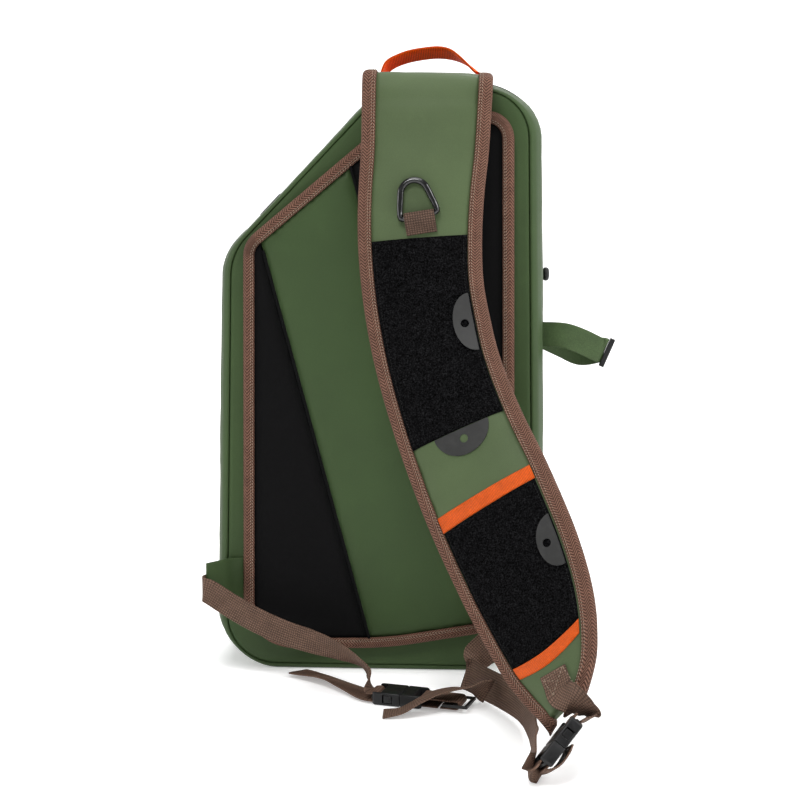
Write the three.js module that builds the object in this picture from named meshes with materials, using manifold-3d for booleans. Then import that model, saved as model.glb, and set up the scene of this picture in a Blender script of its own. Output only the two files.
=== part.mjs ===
// Fishing tackle sling bag: a flat-backed waterproof pack with one shoulder strap, standing on its base.
// Millimetres, +Z up. The origin is the centre of the flat base, and the padded back with its strap faces -Y.

import * as THREE from 'three';
import { mergeVertices } from 'three/addons/utils/BufferGeometryUtils.js';
import Module from 'manifold-3d';

const wasm = await Module();
wasm.setup();

// Clearances
const GAP = 0.3; // between pieces that touch on the real bag
const SEAM = 0.15; // half of the dark line at a welded seam

// Bag shell
const BAG_DEPTH = 110; // back seam to front seam
const PANEL_HEIGHT = 461; // back panel, seam to seam
const PANEL_WIDTH = 249; // back panel at its foot
const TOP_TAPER = 8; // each side leans in by this
const SHOULDER_HEIGHT = 334; // foot of the slanted corner, above the bottom seam
const SLOPE_RUN = 121; // width of the slanted corner
const BASE_LIFT = 4; // bottom seam above the floor
const WALL = 2; // coated fabric
const SIDE_SWELL = 8; // the side band stands out past its seams by this
const TOP_SWELL = 1;
const BASE_SWELL = 5; // pressed flat where it meets the floor
const FRONT_INSET = 9; // the front panel is smaller by this all round
const FRONT_CROWN = 7;

// Main zip, in the side band near the front
const ZIP_OFFSET = 27; // middle of the zip in front of the middle of the bag
const ZIP_SLOT = 10;
const ZIP_CHAIN = 5;
const ZIP_THICK = 1.4;
const PULL_LENGTH = 24;
const PULL_WIDTH = 7;
const PULL_THICK = 2;

// Back pad
const PAD_THICK = 9;
const PAD_TAPE = 8.5; // width of the binding tape on the face
const PAD_TAPE_PROUD = 1;

// Shoulder strap
const STRAP_WIDTH = 100;
const STRAP_THICK = 7;
const STRAP_TAPE = 11;
const STRAP_TAPE_PROUD = 1;
const STRAP_CROWN = 5; // the long edges curl back by this
const STRAP_DROP = 438; // crest to tip, straight down
const STRAP_SIDE = 102; // sideways sweep
const STRAP_REACH = 198; // how far the tip stands out
const STRAP_MIDDLE = 39; // middle of the strap at the crest, right of the bag's middle
const STRAP_CREST = 8; // crest above the bag's top seam
const STRAP_CLEAR = 12; // crest in front of the back pad
const STRAP_ROOT = 40; // stretch sewn along the top of the bag

// Trim on the strap, as lengths from the crest along its middle
const PATCH_THICK = 1.2;
const UPPER_PATCH_START = 122;
const UPPER_PATCH_LENGTH = 152;
const UPPER_BAND_START = 324.6;
const BAND_WIDTH = 11.5;
const BAND_THICK = 1.4;
const LOWER_PATCH_LENGTH = 111;
const LOWER_PATCH_BOW = 5;
const TAB_THICK = 1;
const TAB_HOLE = 6.4;

// D-ring on the strap
const RING_WIRE = 4.6;
const RING_WIDTH = 30.5; // between the wire's middle lines
const RING_HEIGHT = 28;
const RING_BOW = 10.5; // radius of its rounded top
const RING_PLACE = 106; // bar of the ring below the crest
const KEEPER_WIDTH = 23;
const KEEPER_LENGTH = 13;
const RING_TURN = 10; // degrees that ring and keeper lie askew

// Webbing
const WEB_WIDE = 25;
const WEB_NARROW = 20;
const WEB_THICK = 1.5;

// Carry handle
const HANDLE_SPAN = 80;
const HANDLE_RISE = 23;
const HANDLE_WIDTH = 20;
const HANDLE_THICK = 1.8;
const HANDLE_LEAN = 27; // degrees backwards

// Buckles
const BUCKLE_THICK = 10;
const BUCKLE_WALL = 1.8;
const BUCKLE_RIM = 2.5;
const BAR_WIDTH = 3; // bar that the webbing goes round
const BAR_THICK = 2.4;

// Side fittings
const STUD_DIAMETER = 11;
const STUD_HEIGHT = 5;
const STUD_PLACE = 317; // above the floor
const LOOP_BAND = 20;
const LOOP_REACH = 43;
const LOOP_PLACE = 270; // above the floor
const LOOP_DROOP = 13;
const LOOP_OPEN = 15;

// Wings under the pad's lower corners
const WING_REACH = 27;
const WING_HEIGHT = 34;
const WING_PLACE = 76; // middle above the floor
const WING_THICK = 2;

// Derived places
const BACK_Y = -BAG_DEPTH / 2;
const PANEL_TOP = BASE_LIFT + PANEL_HEIGHT;
const BAG_TOP = PANEL_TOP + WALL + TOP_SWELL;
const PAD_FACE_Y = BACK_Y - GAP - PAD_THICK;
const TAPE_FACE_Y = PAD_FACE_Y - PAD_TAPE_PROUD;
const CREST_Y = TAPE_FACE_Y - STRAP_CLEAR;

const v3 = (x, y, z) => new THREE.Vector3(x, y, z);
const lerp = THREE.MathUtils.lerp;
const rad = THREE.MathUtils.degToRad;

// Materials
const finish = (color, roughness, metalness = 0) => ({ color, roughness, metalness });
const GREEN_TPU = finish(0x5f6f50, 0.55);
const GREEN_EDGE = finish(0x6c7d5c, 0.55);
const BLACK_FOAM = finish(0x161616, 0.9);
const LOOP_PILE = finish(0x0b0b0b, 1);
const BROWN_TAPE = finish(0x6b4f45, 0.85);
const BROWN_WEB = finish(0x5f463b, 0.85);
const ORANGE_WEB = finish(0xb84a18, 0.35);
const GREY_RUBBER = finish(0x454545, 0.6);
const BLACK_PLASTIC = finish(0x1c1c1d, 0.4);

const bag = new THREE.Group();

function add(name, geometry, look, parent = bag) {
  geometry.computeVertexNormals();
  const mesh = new THREE.Mesh(geometry, new THREE.MeshStandardMaterial(look));
  mesh.name = name;
  parent.add(mesh);
  return mesh;
}

// Geometry from a vertex list and triangles
function surface(points, triangles) {
  const geometry = new THREE.BufferGeometry();
  geometry.setAttribute('position', new THREE.Float32BufferAttribute(points.flatMap((p) => p.toArray()), 3));
  geometry.setIndex(triangles);
  return geometry;
}

// Closed solid between an upper and a lower grid of the same rows and columns
function slab(upper, lower) {
  const rows = upper.length;
  const cols = upper[0].length;
  const points = [...upper.flat(), ...lower.flat()];
  const up = (i, j) => i * cols + j;
  const low = (i, j) => rows * cols + i * cols + j;
  const triangles = [];
  const quad = (a, b, c, d) => triangles.push(a, b, c, a, c, d);
  for (let i = 0; i + 1 < rows; i += 1) {
    for (let j = 0; j + 1 < cols; j += 1) {
      quad(up(i, j), up(i + 1, j), up(i + 1, j + 1), up(i, j + 1));
      quad(low(i, j), low(i, j + 1), low(i + 1, j + 1), low(i + 1, j));
    }
    quad(up(i, 0), low(i, 0), low(i + 1, 0), up(i + 1, 0));
    quad(up(i, cols - 1), up(i + 1, cols - 1), low(i + 1, cols - 1), low(i, cols - 1));
  }
  for (let j = 0; j + 1 < cols; j += 1) {
    quad(up(0, j), up(0, j + 1), low(0, j + 1), low(0, j));
    quad(up(rows - 1, j), low(rows - 1, j), low(rows - 1, j + 1), up(rows - 1, j + 1));
  }
  return outward(surface(points, triangles));
}

// Closed solid from rings of points, either round on itself or capped at both ends
function loft(rings, closed) {
  const count = rings[0].length;
  const points = rings.flat();
  const triangles = [];
  const last = closed ? rings.length : rings.length - 1;
  for (let i = 0; i < last; i += 1) {
    const next = (i + 1) % rings.length;
    for (let j = 0; j < count; j += 1) {
      const k = (j + 1) % count;
      const a = i * count + j;
      const b = i * count + k;
      const c = next * count + k;
      const d = next * count + j;
      triangles.push(a, b, c, a, c, d);
    }
  }
  if (!closed) {
    const end = (rings.length - 1) * count;
    for (let j = 1; j + 1 < count; j += 1) {
      triangles.push(0, j + 1, j);
      triangles.push(end, end + j, end + j + 1);
    }
  }
  return outward(surface(points, triangles));
}

// Turns a closed surface so that its faces point out
function outward(geometry) {
  const position = geometry.attributes.position;
  const index = geometry.index.array;
  const [a, b, c] = [v3(), v3(), v3()];
  let volume = 0;
  for (let i = 0; i < index.length; i += 3) {
    a.fromBufferAttribute(position, index[i]);
    b.fromBufferAttribute(position, index[i + 1]);
    c.fromBufferAttribute(position, index[i + 2]);
    volume += a.dot(b.cross(c));
  }
  if (volume < 0) {
    for (let i = 0; i < index.length; i += 3) {
      const held = index[i + 1];
      index[i + 1] = index[i + 2];
      index[i + 2] = held;
    }
  }
  return geometry;
}

// Booleans
function solid(geometry) {
  const bare = geometry.clone();
  bare.deleteAttribute('normal');
  bare.deleteAttribute('uv');
  const merged = mergeVertices(bare, 1e-4);
  return new wasm.Manifold(new wasm.Mesh({
    numProp: 3,
    vertProperties: new Float32Array(merged.attributes.position.array),
    triVerts: new Uint32Array(merged.index.array),
  }));
}

function meshed(body) {
  const { vertProperties, triVerts } = body.getMesh();
  const geometry = new THREE.BufferGeometry();
  geometry.setAttribute('position', new THREE.BufferAttribute(new Float32Array(vertProperties), 3));
  geometry.setIndex(Array.from(triVerts));
  return geometry;
}

function box(x0, x1, y0, y1, z0, z1) {
  const geometry = new THREE.BoxGeometry(x1 - x0, y1 - y0, z1 - z0);
  geometry.translate((x0 + x1) / 2, (y0 + y1) / 2, (z0 + z1) / 2);
  return solid(geometry);
}

// Outlines in the X-Z plane: corners with a radius become a run of places with an outward direction
const ARC_STEPS = 7;

function outline(corners) {
  const places = [];
  corners.forEach((corner, i) => {
    const before = corners[(i + corners.length - 1) % corners.length];
    const after = corners[(i + 1) % corners.length];
    const into = new THREE.Vector2(corner.x - before.x, corner.z - before.z).normalize();
    const out = new THREE.Vector2(after.x - corner.x, after.z - corner.z).normalize();
    const turn = Math.acos(THREE.MathUtils.clamp(into.dot(out), -1, 1));
    const reach = corner.r * Math.tan(turn / 2);
    const start = new THREE.Vector2(corner.x, corner.z).addScaledVector(into, -reach);
    const centre = start.clone().add(new THREE.Vector2(-into.y, into.x).multiplyScalar(corner.r));
    const from = Math.atan2(start.y - centre.y, start.x - centre.x);
    for (let k = 0; k <= ARC_STEPS; k += 1) {
      const angle = from + (turn * k) / ARC_STEPS;
      const nx = Math.cos(angle);
      const nz = Math.sin(angle);
      places.push({ x: centre.x + nx * corner.r, z: centre.y + nz * corner.r, nx, nz });
    }
  });
  return places;
}

const moved = (places, off) => places.map((p) => new THREE.Vector2(p.x + p.nx * off, p.z + p.nz * off));

// Flat plate with its outline in X-Z, from y0 back to y1
function plate(points, y0, y1, hole) {
  const shape = new THREE.Shape(points);
  if (hole) {
    shape.holes.push(new THREE.Path(hole));
  }
  const geometry = new THREE.ExtrudeGeometry(shape, { depth: y1 - y0, bevelEnabled: false });
  geometry.rotateX(Math.PI / 2);
  geometry.translate(0, y1, 0);
  return geometry;
}

// Corners of the back panel, anticlockwise from the foot on the right
const half = PANEL_WIDTH / 2;
const panelCorners = {
  footRight: { x: half, z: BASE_LIFT, r: 55 },
  topRight: { x: half - TOP_TAPER, z: PANEL_TOP, r: 37 },
  apex: { x: -half + TOP_TAPER + SLOPE_RUN, z: PANEL_TOP, r: 30 },
  shoulder: { x: -half + TOP_TAPER, z: BASE_LIFT + SHOULDER_HEIGHT, r: 45 },
  footLeft: { x: -half, z: BASE_LIFT, r: 40 },
};
const panel = outline(Object.values(panelCorners));

// Back wall of the shell
add('bag_back_wall', plate(moved(panel, -SEAM), BACK_Y, BACK_Y + WALL), GREEN_TPU);

// Front wall: a plate that swells towards its middle
function crowned(points, y, crown, thick) {
  const rings = [1, 0.86, 0.6, 0.3];
  const middle = points.reduce((sum, p) => sum.add(p), new THREE.Vector2()).divideScalar(points.length);
  const count = points.length;
  const skin = (back) => {
    const list = rings.flatMap((share) => points.map((p) => {
      const flat = middle.clone().lerp(p, share);
      return v3(flat.x, y + crown * (1 - share * share) - back, flat.y);
    }));
    list.push(v3(middle.x, y + crown - back, middle.y));
    return list;
  };
  const all = [...skin(0), ...skin(thick)];
  const size = rings.length * count + 1;
  const triangles = [];
  for (let j = 0; j < count; j += 1) {
    const k = (j + 1) % count;
    for (let i = 0; i + 1 < rings.length; i += 1) {
      const [a, b, c, d] = [i * count + j, i * count + k, (i + 1) * count + k, (i + 1) * count + j];
      triangles.push(a, c, b, a, d, c);
      triangles.push(size + a, size + b, size + c, size + a, size + c, size + d);
    }
    const [e, f] = [(rings.length - 1) * count + j, (rings.length - 1) * count + k];
    triangles.push(e, size - 1, f);
    triangles.push(size + e, size + f, size + size - 1);
    triangles.push(j, k, size + k, j, size + k, size + j);
  }
  return outward(surface(all, triangles));
}
add(
  'bag_front_wall',
  crowned(moved(panel, -FRONT_INSET - SEAM), -BACK_Y, FRONT_CROWN, WALL),
  GREEN_TPU,
);

// Side band, swept round the panel. Columns across its depth: how far out it swells and how far the front draws in
const bandColumns = [
  { depth: -0.5, swell: 0, inset: 0 },
  { depth: -0.46, swell: 0.45, inset: 0 },
  { depth: -0.36, swell: 0.85, inset: 0 },
  { depth: -0.15, swell: 1, inset: 0 },
  { depth: 0.12, swell: 1, inset: 0 },
  { depth: 0.33, swell: 0.7, inset: 0.15 },
  { depth: 0.45, swell: 0.3, inset: 0.55 },
  { depth: 0.5, swell: 0, inset: 1 },
];

function swellAt(place) {
  const upright = place.nz > 0 ? TOP_SWELL : BASE_SWELL;
  return SIDE_SWELL * place.nx ** 4 + upright * place.nz ** 4;
}

function bandPoint(place, column, deep, floor) {
  const out = SEAM + WALL - deep + column.swell * swellAt(place) - column.inset * FRONT_INSET;
  const z = Math.max(floor, place.z + place.nz * out);
  return v3(place.x + place.nx * out, column.depth * BAG_DEPTH, z);
}

function bandRing(place) {
  const outer = bandColumns.map((column) => bandPoint(place, column, 0, 0));
  const inner = bandColumns.map((column) => bandPoint(place, column, WALL, WALL));
  return [...outer, ...inner.reverse()];
}
const bandSolid = loft(panel.map(bandRing), true);

// Stretch of the band that holds the zip: from the right side over the top and down the slanted corner
const zipRun = panel.slice(ARC_STEPS, 3 * (ARC_STEPS + 1) + 1);
const zipPlaces = [
  { ...zipRun[0], x: lerp(zipRun[0].x, zipRun[1].x, 0.86), z: lerp(zipRun[0].z, zipRun[1].z, 0.86) },
  ...zipRun.slice(1, -1),
  {
    ...zipRun.at(-1),
    x: lerp(zipRun.at(-2).x, zipRun.at(-1).x, 0.85),
    z: lerp(zipRun.at(-2).z, zipRun.at(-1).z, 0.85),
  },
];
// Band surface at a distance in front of the bag's middle
function bandOut(place, y) {
  const depth = y / BAG_DEPTH;
  const after = bandColumns.findIndex((column) => column.depth >= depth);
  const [a, b] = [bandColumns[after - 1], bandColumns[after]];
  const share = (depth - a.depth) / (b.depth - a.depth);
  const swell = lerp(a.swell, b.swell, share);
  const inset = lerp(a.inset, b.inset, share);
  return SEAM + WALL + swell * swellAt(place) - inset * FRONT_INSET;
}

function zipStrip(places, width, rise, thick) {
  const ring = (place) => [-0.5, 0.5].flatMap((side) => {
    const y = ZIP_OFFSET + side * width;
    const top = bandOut(place, y) + rise;
    const pair = [v3(place.x + place.nx * top, y, place.z + place.nz * top)];
    pair.push(v3(place.x + place.nx * (top - thick), y, place.z + place.nz * (top - thick)));
    return side < 0 ? pair : pair.reverse();
  });
  return loft(places.map(ring), false);
}

// End places of the zip drawn back by a clearance along the run
function shortened(places, by) {
  const pull = (from, to) => {
    const step = new THREE.Vector2(to.x - from.x, to.z - from.z);
    step.setLength(by);
    return { ...from, x: from.x + step.x, z: from.z + step.y };
  };
  return [pull(places[0], places[1]), ...places.slice(1, -1), pull(places.at(-1), places.at(-2))];
}
const slot = zipStrip(zipPlaces, ZIP_SLOT, 3 * WALL, 7 * WALL);
add('bag_gusset', meshed(solid(bandSolid).subtract(solid(slot))), GREEN_TPU);

const zipTape = zipStrip(shortened(zipPlaces, GAP), ZIP_SLOT - 2 * GAP, -0.2, ZIP_THICK);
add('zip_tape', zipTape, BLACK_FOAM);
const chainPlaces = shortened(zipPlaces, PULL_LENGTH / 2);
add('zip_chain', zipStrip(chainPlaces, ZIP_CHAIN, ZIP_THICK, ZIP_THICK - GAP / 2), BLACK_PLASTIC);

// Zip slider with its pull, parked at the lower end of the zip
const park = chainPlaces.at(-1);
const parkOut = bandOut(park, ZIP_OFFSET) + GAP;
const slider = new THREE.Group();
slider.position.set(park.x + park.nx * parkOut, ZIP_OFFSET, park.z + park.nz * parkOut);
slider.rotation.y = -Math.atan2(park.nz, park.nx);
bag.add(slider);
const pullShape = new THREE.Shape();
pullShape.moveTo(-PULL_WIDTH / 2, 0);
pullShape.lineTo(PULL_WIDTH / 2, 0);
pullShape.lineTo(PULL_WIDTH / 2, PULL_LENGTH - PULL_WIDTH / 2);
pullShape.absarc(0, PULL_LENGTH - PULL_WIDTH / 2, PULL_WIDTH / 2, 0, Math.PI, false);
const pull = new THREE.ExtrudeGeometry(pullShape, { depth: PULL_THICK, bevelEnabled: false, curveSegments: 6 });
pull.applyMatrix4(new THREE.Matrix4().makeBasis(v3(0, 1, 0), v3(0, 0, 1), v3(1, 0, 0)));
pull.translate(2 * GAP, 0, 2 * GAP);
add('zip_slider', pull, BLACK_PLASTIC, slider);

// Back pad: its own corners, each drawn in from the panel's corner
const padInsets = {
  footRight: { inX: -16, inZ: 35, r: 40 },
  topRight: { inX: -12, inZ: -16, r: 21 },
  apex: { inX: 12, inZ: -16, r: 25 },
  shoulder: { inX: 11.5, inZ: 9, r: 22 },
  footLeft: { inX: 15.5, inZ: 15, r: 40 },
};
const padCorners = Object.entries(padInsets).map(([name, inset]) => ({
  x: panelCorners[name].x + inset.inX,
  z: panelCorners[name].z + inset.inZ,
  r: inset.r,
}));
const FOOT_BEND = 0.53; // where the pad's foot starts to rise, as a share of its width
const FOOT_BEND_RADIUS = 300;
const [padFootRight, , , , padFootLeft] = padCorners;
padCorners.push({
  x: lerp(padFootLeft.x, padFootRight.x, FOOT_BEND),
  z: padFootLeft.z + 2,
  r: FOOT_BEND_RADIUS,
});
const padOutline = outline(padCorners);
const padBackY = BACK_Y - GAP;
add(
  'back_pad_binding',
  plate(moved(padOutline, 0), TAPE_FACE_Y, padBackY, moved(padOutline, -PAD_TAPE)),
  BROWN_TAPE,
);

// The three pads inside the tape, parted by two slanting seams
const padInside = moved(padOutline, -PAD_TAPE - GAP);
const padLeft = padFootLeft.x;
const padSpan = padFootRight.x - padFootLeft.x;
const padTop = panelCorners.topRight.z + padInsets.topRight.inZ;
const padFootZ = padFootLeft.z;
const padPoint = (across, up) => new THREE.Vector2(padLeft + across * padSpan, lerp(padFootZ, padTop, up));
const seamLines = [
  { top: padPoint(0.091, 0.74), foot: padPoint(0.461, 0.029) },
  { top: padPoint(0.402, 0.901), foot: padPoint(0.878, 0.036) },
];

function clipped(points, line, keepLeft) {
  const way = line.foot.clone().sub(line.top).normalize();
  const side = new THREE.Vector2(way.y, -way.x).multiplyScalar(keepLeft ? 1 : -1);
  const level = (p) => side.dot(p.clone().sub(line.top)) - GAP / 2;
  const kept = [];
  points.forEach((p, i) => {
    const q = points[(i + 1) % points.length];
    const [a, b] = [level(p), level(q)];
    if (a > 0) {
      kept.push(p);
    }
    if ((a > 0) !== (b > 0)) {
      kept.push(p.clone().lerp(q, a / (a - b)));
    }
  });
  return kept;
}
const pads = [
  { name: 'back_pad_left', points: clipped(padInside, seamLines[0], true), look: BLACK_FOAM },
  {
    name: 'back_pad_centre',
    points: clipped(clipped(padInside, seamLines[0], false), seamLines[1], true),
    look: GREEN_TPU,
  },
  { name: 'back_pad_right', points: clipped(padInside, seamLines[1], false), look: BLACK_FOAM },
];
for (const pad of pads) {
  add(pad.name, plate(pad.points, PAD_FACE_Y, padBackY), pad.look);
}

// Shoulder strap. Rows down its length from the crest: shares of the drop, side sweep, reach and width,
// the slant of the cross line in the picture plane and its turn towards the front, both in degrees
const strapRows = [
  { down: 0, side: 0, out: 0, width: 0.997, lean: -3.4, twist: 0 },
  { down: 0.03, side: -0.003, out: 0.032, width: 0.993, lean: -2.6, twist: 0 },
  { down: 0.119, side: -0.016, out: 0.071, width: 0.976, lean: 0, twist: 0 },
  { down: 0.2, side: -0.041, out: 0.111, width: 0.961, lean: 2, twist: 0 },
  { down: 0.273, side: -0.045, out: 0.147, width: 0.947, lean: 4.8, twist: 0 },
  { down: 0.351, side: -0.022, out: 0.192, width: 0.928, lean: 7.8, twist: 1 },
  { down: 0.425, side: 0.037, out: 0.248, width: 0.933, lean: 12.7, twist: 2 },
  { down: 0.49, side: 0.111, out: 0.313, width: 0.939, lean: 18.5, twist: 4 },
  { down: 0.584, side: 0.263, out: 0.414, width: 0.976, lean: 26.3, twist: 6 },
  { down: 0.688, side: 0.474, out: 0.54, width: 1.036, lean: 34, twist: 8 },
  { down: 0.788, side: 0.69, out: 0.682, width: 1.03, lean: 38.8, twist: 10 },
  { down: 0.854, side: 0.825, out: 0.773, width: 0.955, lean: 40.5, twist: 10 },
  { down: 0.905, side: 0.916, out: 0.854, width: 0.84, lean: 42.5, twist: 10 },
  { down: 0.945, side: 0.979, out: 0.914, width: 0.665, lean: 43.5, twist: 10 },
  { down: 0.977, side: 1, out: 0.965, width: 0.45, lean: 45, twist: 10 },
  { down: 1, side: 0.99, out: 1, width: 0.3, lean: 48, twist: 10 },
];
const strapTop = PANEL_TOP + STRAP_CREST;
const rootZ = BAG_TOP + SEAM + GAP + STRAP_THICK / 2 + STRAP_TAPE_PROUD;
const strapStations = [
  { x: STRAP_MIDDLE, y: BACK_Y + STRAP_ROOT, z: rootZ, width: 0.99, lean: 0, twist: 0 },
  { x: STRAP_MIDDLE, y: BACK_Y + STRAP_ROOT / 2, z: rootZ + 0.2, width: 0.99, lean: 0, twist: 0 },
  { x: STRAP_MIDDLE, y: lerp(BACK_Y, CREST_Y, 0.28), z: rootZ + 1.2, width: 0.993, lean: -1, twist: 0 },
  ...strapRows.map((row) => ({
    x: STRAP_MIDDLE + row.side * STRAP_SIDE,
    y: CREST_Y - row.out * STRAP_REACH,
    z: strapTop - row.down * STRAP_DROP,
    width: row.width,
    lean: row.lean,
    twist: row.twist,
  })),
];
const CREST_STATION = 3;
const strapCurve = new THREE.CatmullRomCurve3(strapStations.map((s) => v3(s.x, s.y, s.z)), false, 'centripetal');
// Length along the curve at each station, so that trim is placed by millimetres from the crest
const STEPS_PER_STATION = 12;
const stationLengths = (() => {
  const lengths = [0];
  const spans = strapStations.length - 1;
  let last = strapCurve.getPoint(0);
  let total = 0;
  for (let i = 1; i <= spans * STEPS_PER_STATION; i += 1) {
    const here = strapCurve.getPoint(i / (spans * STEPS_PER_STATION));
    total += here.distanceTo(last);
    last = here;
    if (i % STEPS_PER_STATION === 0) {
      lengths.push(total);
    }
  }
  return lengths.map((length) => length - lengths[CREST_STATION]);
})();
const STRAP_START = stationLengths[0];
const STRAP_END = stationLengths.at(-1);

function smooth(values, at) {
  const i = Math.min(values.length - 2, Math.floor(at));
  const t = at - i;
  const p = [i - 1, i, i + 1, i + 2].map((k) => values[THREE.MathUtils.clamp(k, 0, values.length - 1)]);
  const a = -0.5 * p[0] + 1.5 * p[1] - 1.5 * p[2] + 0.5 * p[3];
  const b = p[0] - 2.5 * p[1] + 2 * p[2] - 0.5 * p[3];
  return ((a * t + b) * t + 0.5 * (p[2] - p[0])) * t + p[1];
}

// Middle, cross line, run and face direction of the strap at a length from the crest
function strapFrame(length) {
  const found = stationLengths.findIndex((value) => value > length);
  const i = found < 0 ? stationLengths.length - 2 : Math.max(0, found - 1);
  const share = (length - stationLengths[i]) / (stationLengths[i + 1] - stationLengths[i]);
  const at = THREE.MathUtils.clamp(i + share, 0, stationLengths.length - 1);
  const spans = stationLengths.length - 1;
  const middle = strapCurve.getPoint(at / spans);
  const run = strapCurve.getTangent(at / spans);
  const lean = rad(smooth(strapStations.map((s) => s.lean), at));
  const twist = rad(smooth(strapStations.map((s) => s.twist), at));
  const cross = v3(Math.cos(lean) * Math.cos(twist), -Math.sin(twist), Math.sin(lean) * Math.cos(twist));
  const face = run.clone().cross(cross).normalize();
  const width = STRAP_WIDTH * smooth(strapStations.map((s) => s.width), at);
  return { middle, cross, run, face, half: width / 2 };
}

// Point of the strap: length from the crest, millimetres across, millimetres above its middle layer
function strapPoint(length, across, lift) {
  const frame = strapFrame(length);
  const share = across / frame.half;
  // the strap lies flat at its root and curls below the crest
  const crown = STRAP_CROWN * THREE.MathUtils.smoothstep(length, -STRAP_ROOT / 4, STRAP_ROOT);
  return frame.middle.clone()
    .addScaledVector(frame.cross, across)
    .addScaledVector(frame.face, lift - crown * share * share);
}

const inner = (length) => strapFrame(length).half - STRAP_TAPE;
const spaced = (from, to, count) => Array.from({ length: count + 1 }, (_, i) => lerp(from, to, i / count));
const tipClear = 8; // the face stops this short of the tip, where the two tapes meet
const faceLift = STRAP_THICK / 2;

// Padded core
const coreLengths = [
  ...spaced(STRAP_START, 0, 8).slice(0, -1),
  ...spaced(0, STRAP_END - tipClear, 26),
];
const coreAcross = spaced(-1, 1, 6);
const corePoints = (lift) => coreLengths.map((length) => {
  const reach = Math.max(1, inner(length) - GAP);
  return coreAcross.map((share) => strapPoint(length, share * reach, lift));
});
add('shoulder_strap_pad', slab(corePoints(faceLift), corePoints(-faceLift)), GREEN_TPU);

// Binding tape along both long edges, thinner at its rounded outer edge
const tapeProfile = [
  { share: 1, lift: 0.55 },
  { share: 0.85, lift: 0.92 },
  { share: 0, lift: 1 },
];
const tapeLengths = [...coreLengths, STRAP_END - tipClear / 2, STRAP_END];
for (const [name, side] of [['strap_binding_left', -1], ['strap_binding_right', 1]]) {
  const tapePoints = (sign) => tapeLengths.map((length) => {
    const start = Math.max(GAP, inner(length));
    const stop = strapFrame(length).half;
    return tapeProfile.map(({ share, lift }) => (
      strapPoint(length, side * lerp(start, stop, share), sign * lift * (faceLift + STRAP_TAPE_PROUD))
    ));
  });
  add(name, slab(tapePoints(1), tapePoints(-1)), BROWN_TAPE);
}

// Flat trim between the tapes: from one length to another, each a function of the share across
function strapTrim(from, to, thick, rows, cols, narrow = 0) {
  const lift = faceLift + GAP;
  const grid = (height) => spaced(0, 1, rows).map((t) => spaced(-1, 1, cols).map((share) => {
    const length = lerp(from(share), to(share), t);
    const reach = inner(length) - GAP - narrow;
    return strapPoint(length, share * reach, height);
  }));
  return slab(grid(lift + thick), grid(lift));
}
const bow = (share) => LOWER_PATCH_BOW * (1 - share * share);
const upperPatchEnd = UPPER_PATCH_START + UPPER_PATCH_LENGTH;
const lowerPatchStart = UPPER_BAND_START + BAND_WIDTH + GAP;
const lowerPatchEnd = lowerPatchStart + LOWER_PATCH_LENGTH;
const lowerBandStart = lowerPatchEnd + GAP;
add(
  'strap_loop_patch_upper',
  strapTrim(() => UPPER_PATCH_START, () => upperPatchEnd, PATCH_THICK, 12, 6),
  LOOP_PILE,
);
add(
  'orange_band_upper',
  strapTrim(() => UPPER_BAND_START, () => UPPER_BAND_START + BAND_WIDTH, BAND_THICK, 2, 6),
  ORANGE_WEB,
);
add(
  'strap_loop_patch_lower',
  strapTrim(() => lowerPatchStart, (share) => lowerPatchEnd + bow(share), PATCH_THICK, 9, 8, 0.6),
  LOOP_PILE,
);
add(
  'orange_band_lower',
  strapTrim(
    (share) => lowerBandStart + bow(share),
    (share) => lowerBandStart + BAND_WIDTH - 2 + bow(share),
    BAND_THICK,
    2,
    8,
    0.8,
  ),
  ORANGE_WEB,
);

// Rubber tabs: half ovals with one hole that follow the strap's surface. spread is half the straight side
function tab(spread, reach, holeAt, place, lift) {
  const rows = spaced(-1, 1, 14).map((t) => Math.sin((t * Math.PI) / 2) * 0.995);
  const grid = (height) => rows.map((t) => spaced(0, 1, 4).map((c) => (
    strapPoint(...place(t * spread, c * reach * Math.sqrt(1 - t * t)), height)
  )));
  const [length, across] = place(0, holeAt);
  const frame = strapFrame(length);
  const right = strapPoint(length, across + 1, 0).sub(strapPoint(length, across - 1, 0)).normalize();
  const face = frame.run.clone().cross(right).normalize();
  const drill = new THREE.CylinderGeometry(TAB_HOLE / 2, TAB_HOLE / 2, 8 * TAB_THICK, 14);
  drill.applyMatrix4(new THREE.Matrix4().makeBasis(right, face, right.clone().cross(face)));
  const middle = strapPoint(length, across, lift);
  drill.translate(middle.x, middle.y, middle.z);
  return meshed(solid(slab(grid(lift + TAB_THICK), grid(lift))).subtract(solid(drill)));
}
const overPatch = faceLift + GAP + PATCH_THICK + GAP;
const sideTabs = [
  { name: 'rubber_tab_upper', at: 194, reach: 15, spread: 25, hole: 6.5 },
  { name: 'rubber_tab_lower', at: 386, reach: 16, spread: 20, hole: 8.5 },
];
for (const row of sideTabs) {
  const place = (along, inward) => [row.at + along, inner(row.at + along) - GAP - 1.2 - inward];
  add(row.name, tab(row.spread, row.reach, row.hole, place, overPatch), GREY_RUBBER);
}
const MIDDLE_TAB = { reach: 20, spread: 22, hole: 8, across: 3 };
const middlePlace = (along, inward) => [upperPatchEnd + GAP + inward, MIDDLE_TAB.across + along];
add(
  'rubber_tab_middle',
  tab(MIDDLE_TAB.spread, MIDDLE_TAB.reach, MIDDLE_TAB.hole, middlePlace, faceLift + GAP),
  GREY_RUBBER,
);

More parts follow.
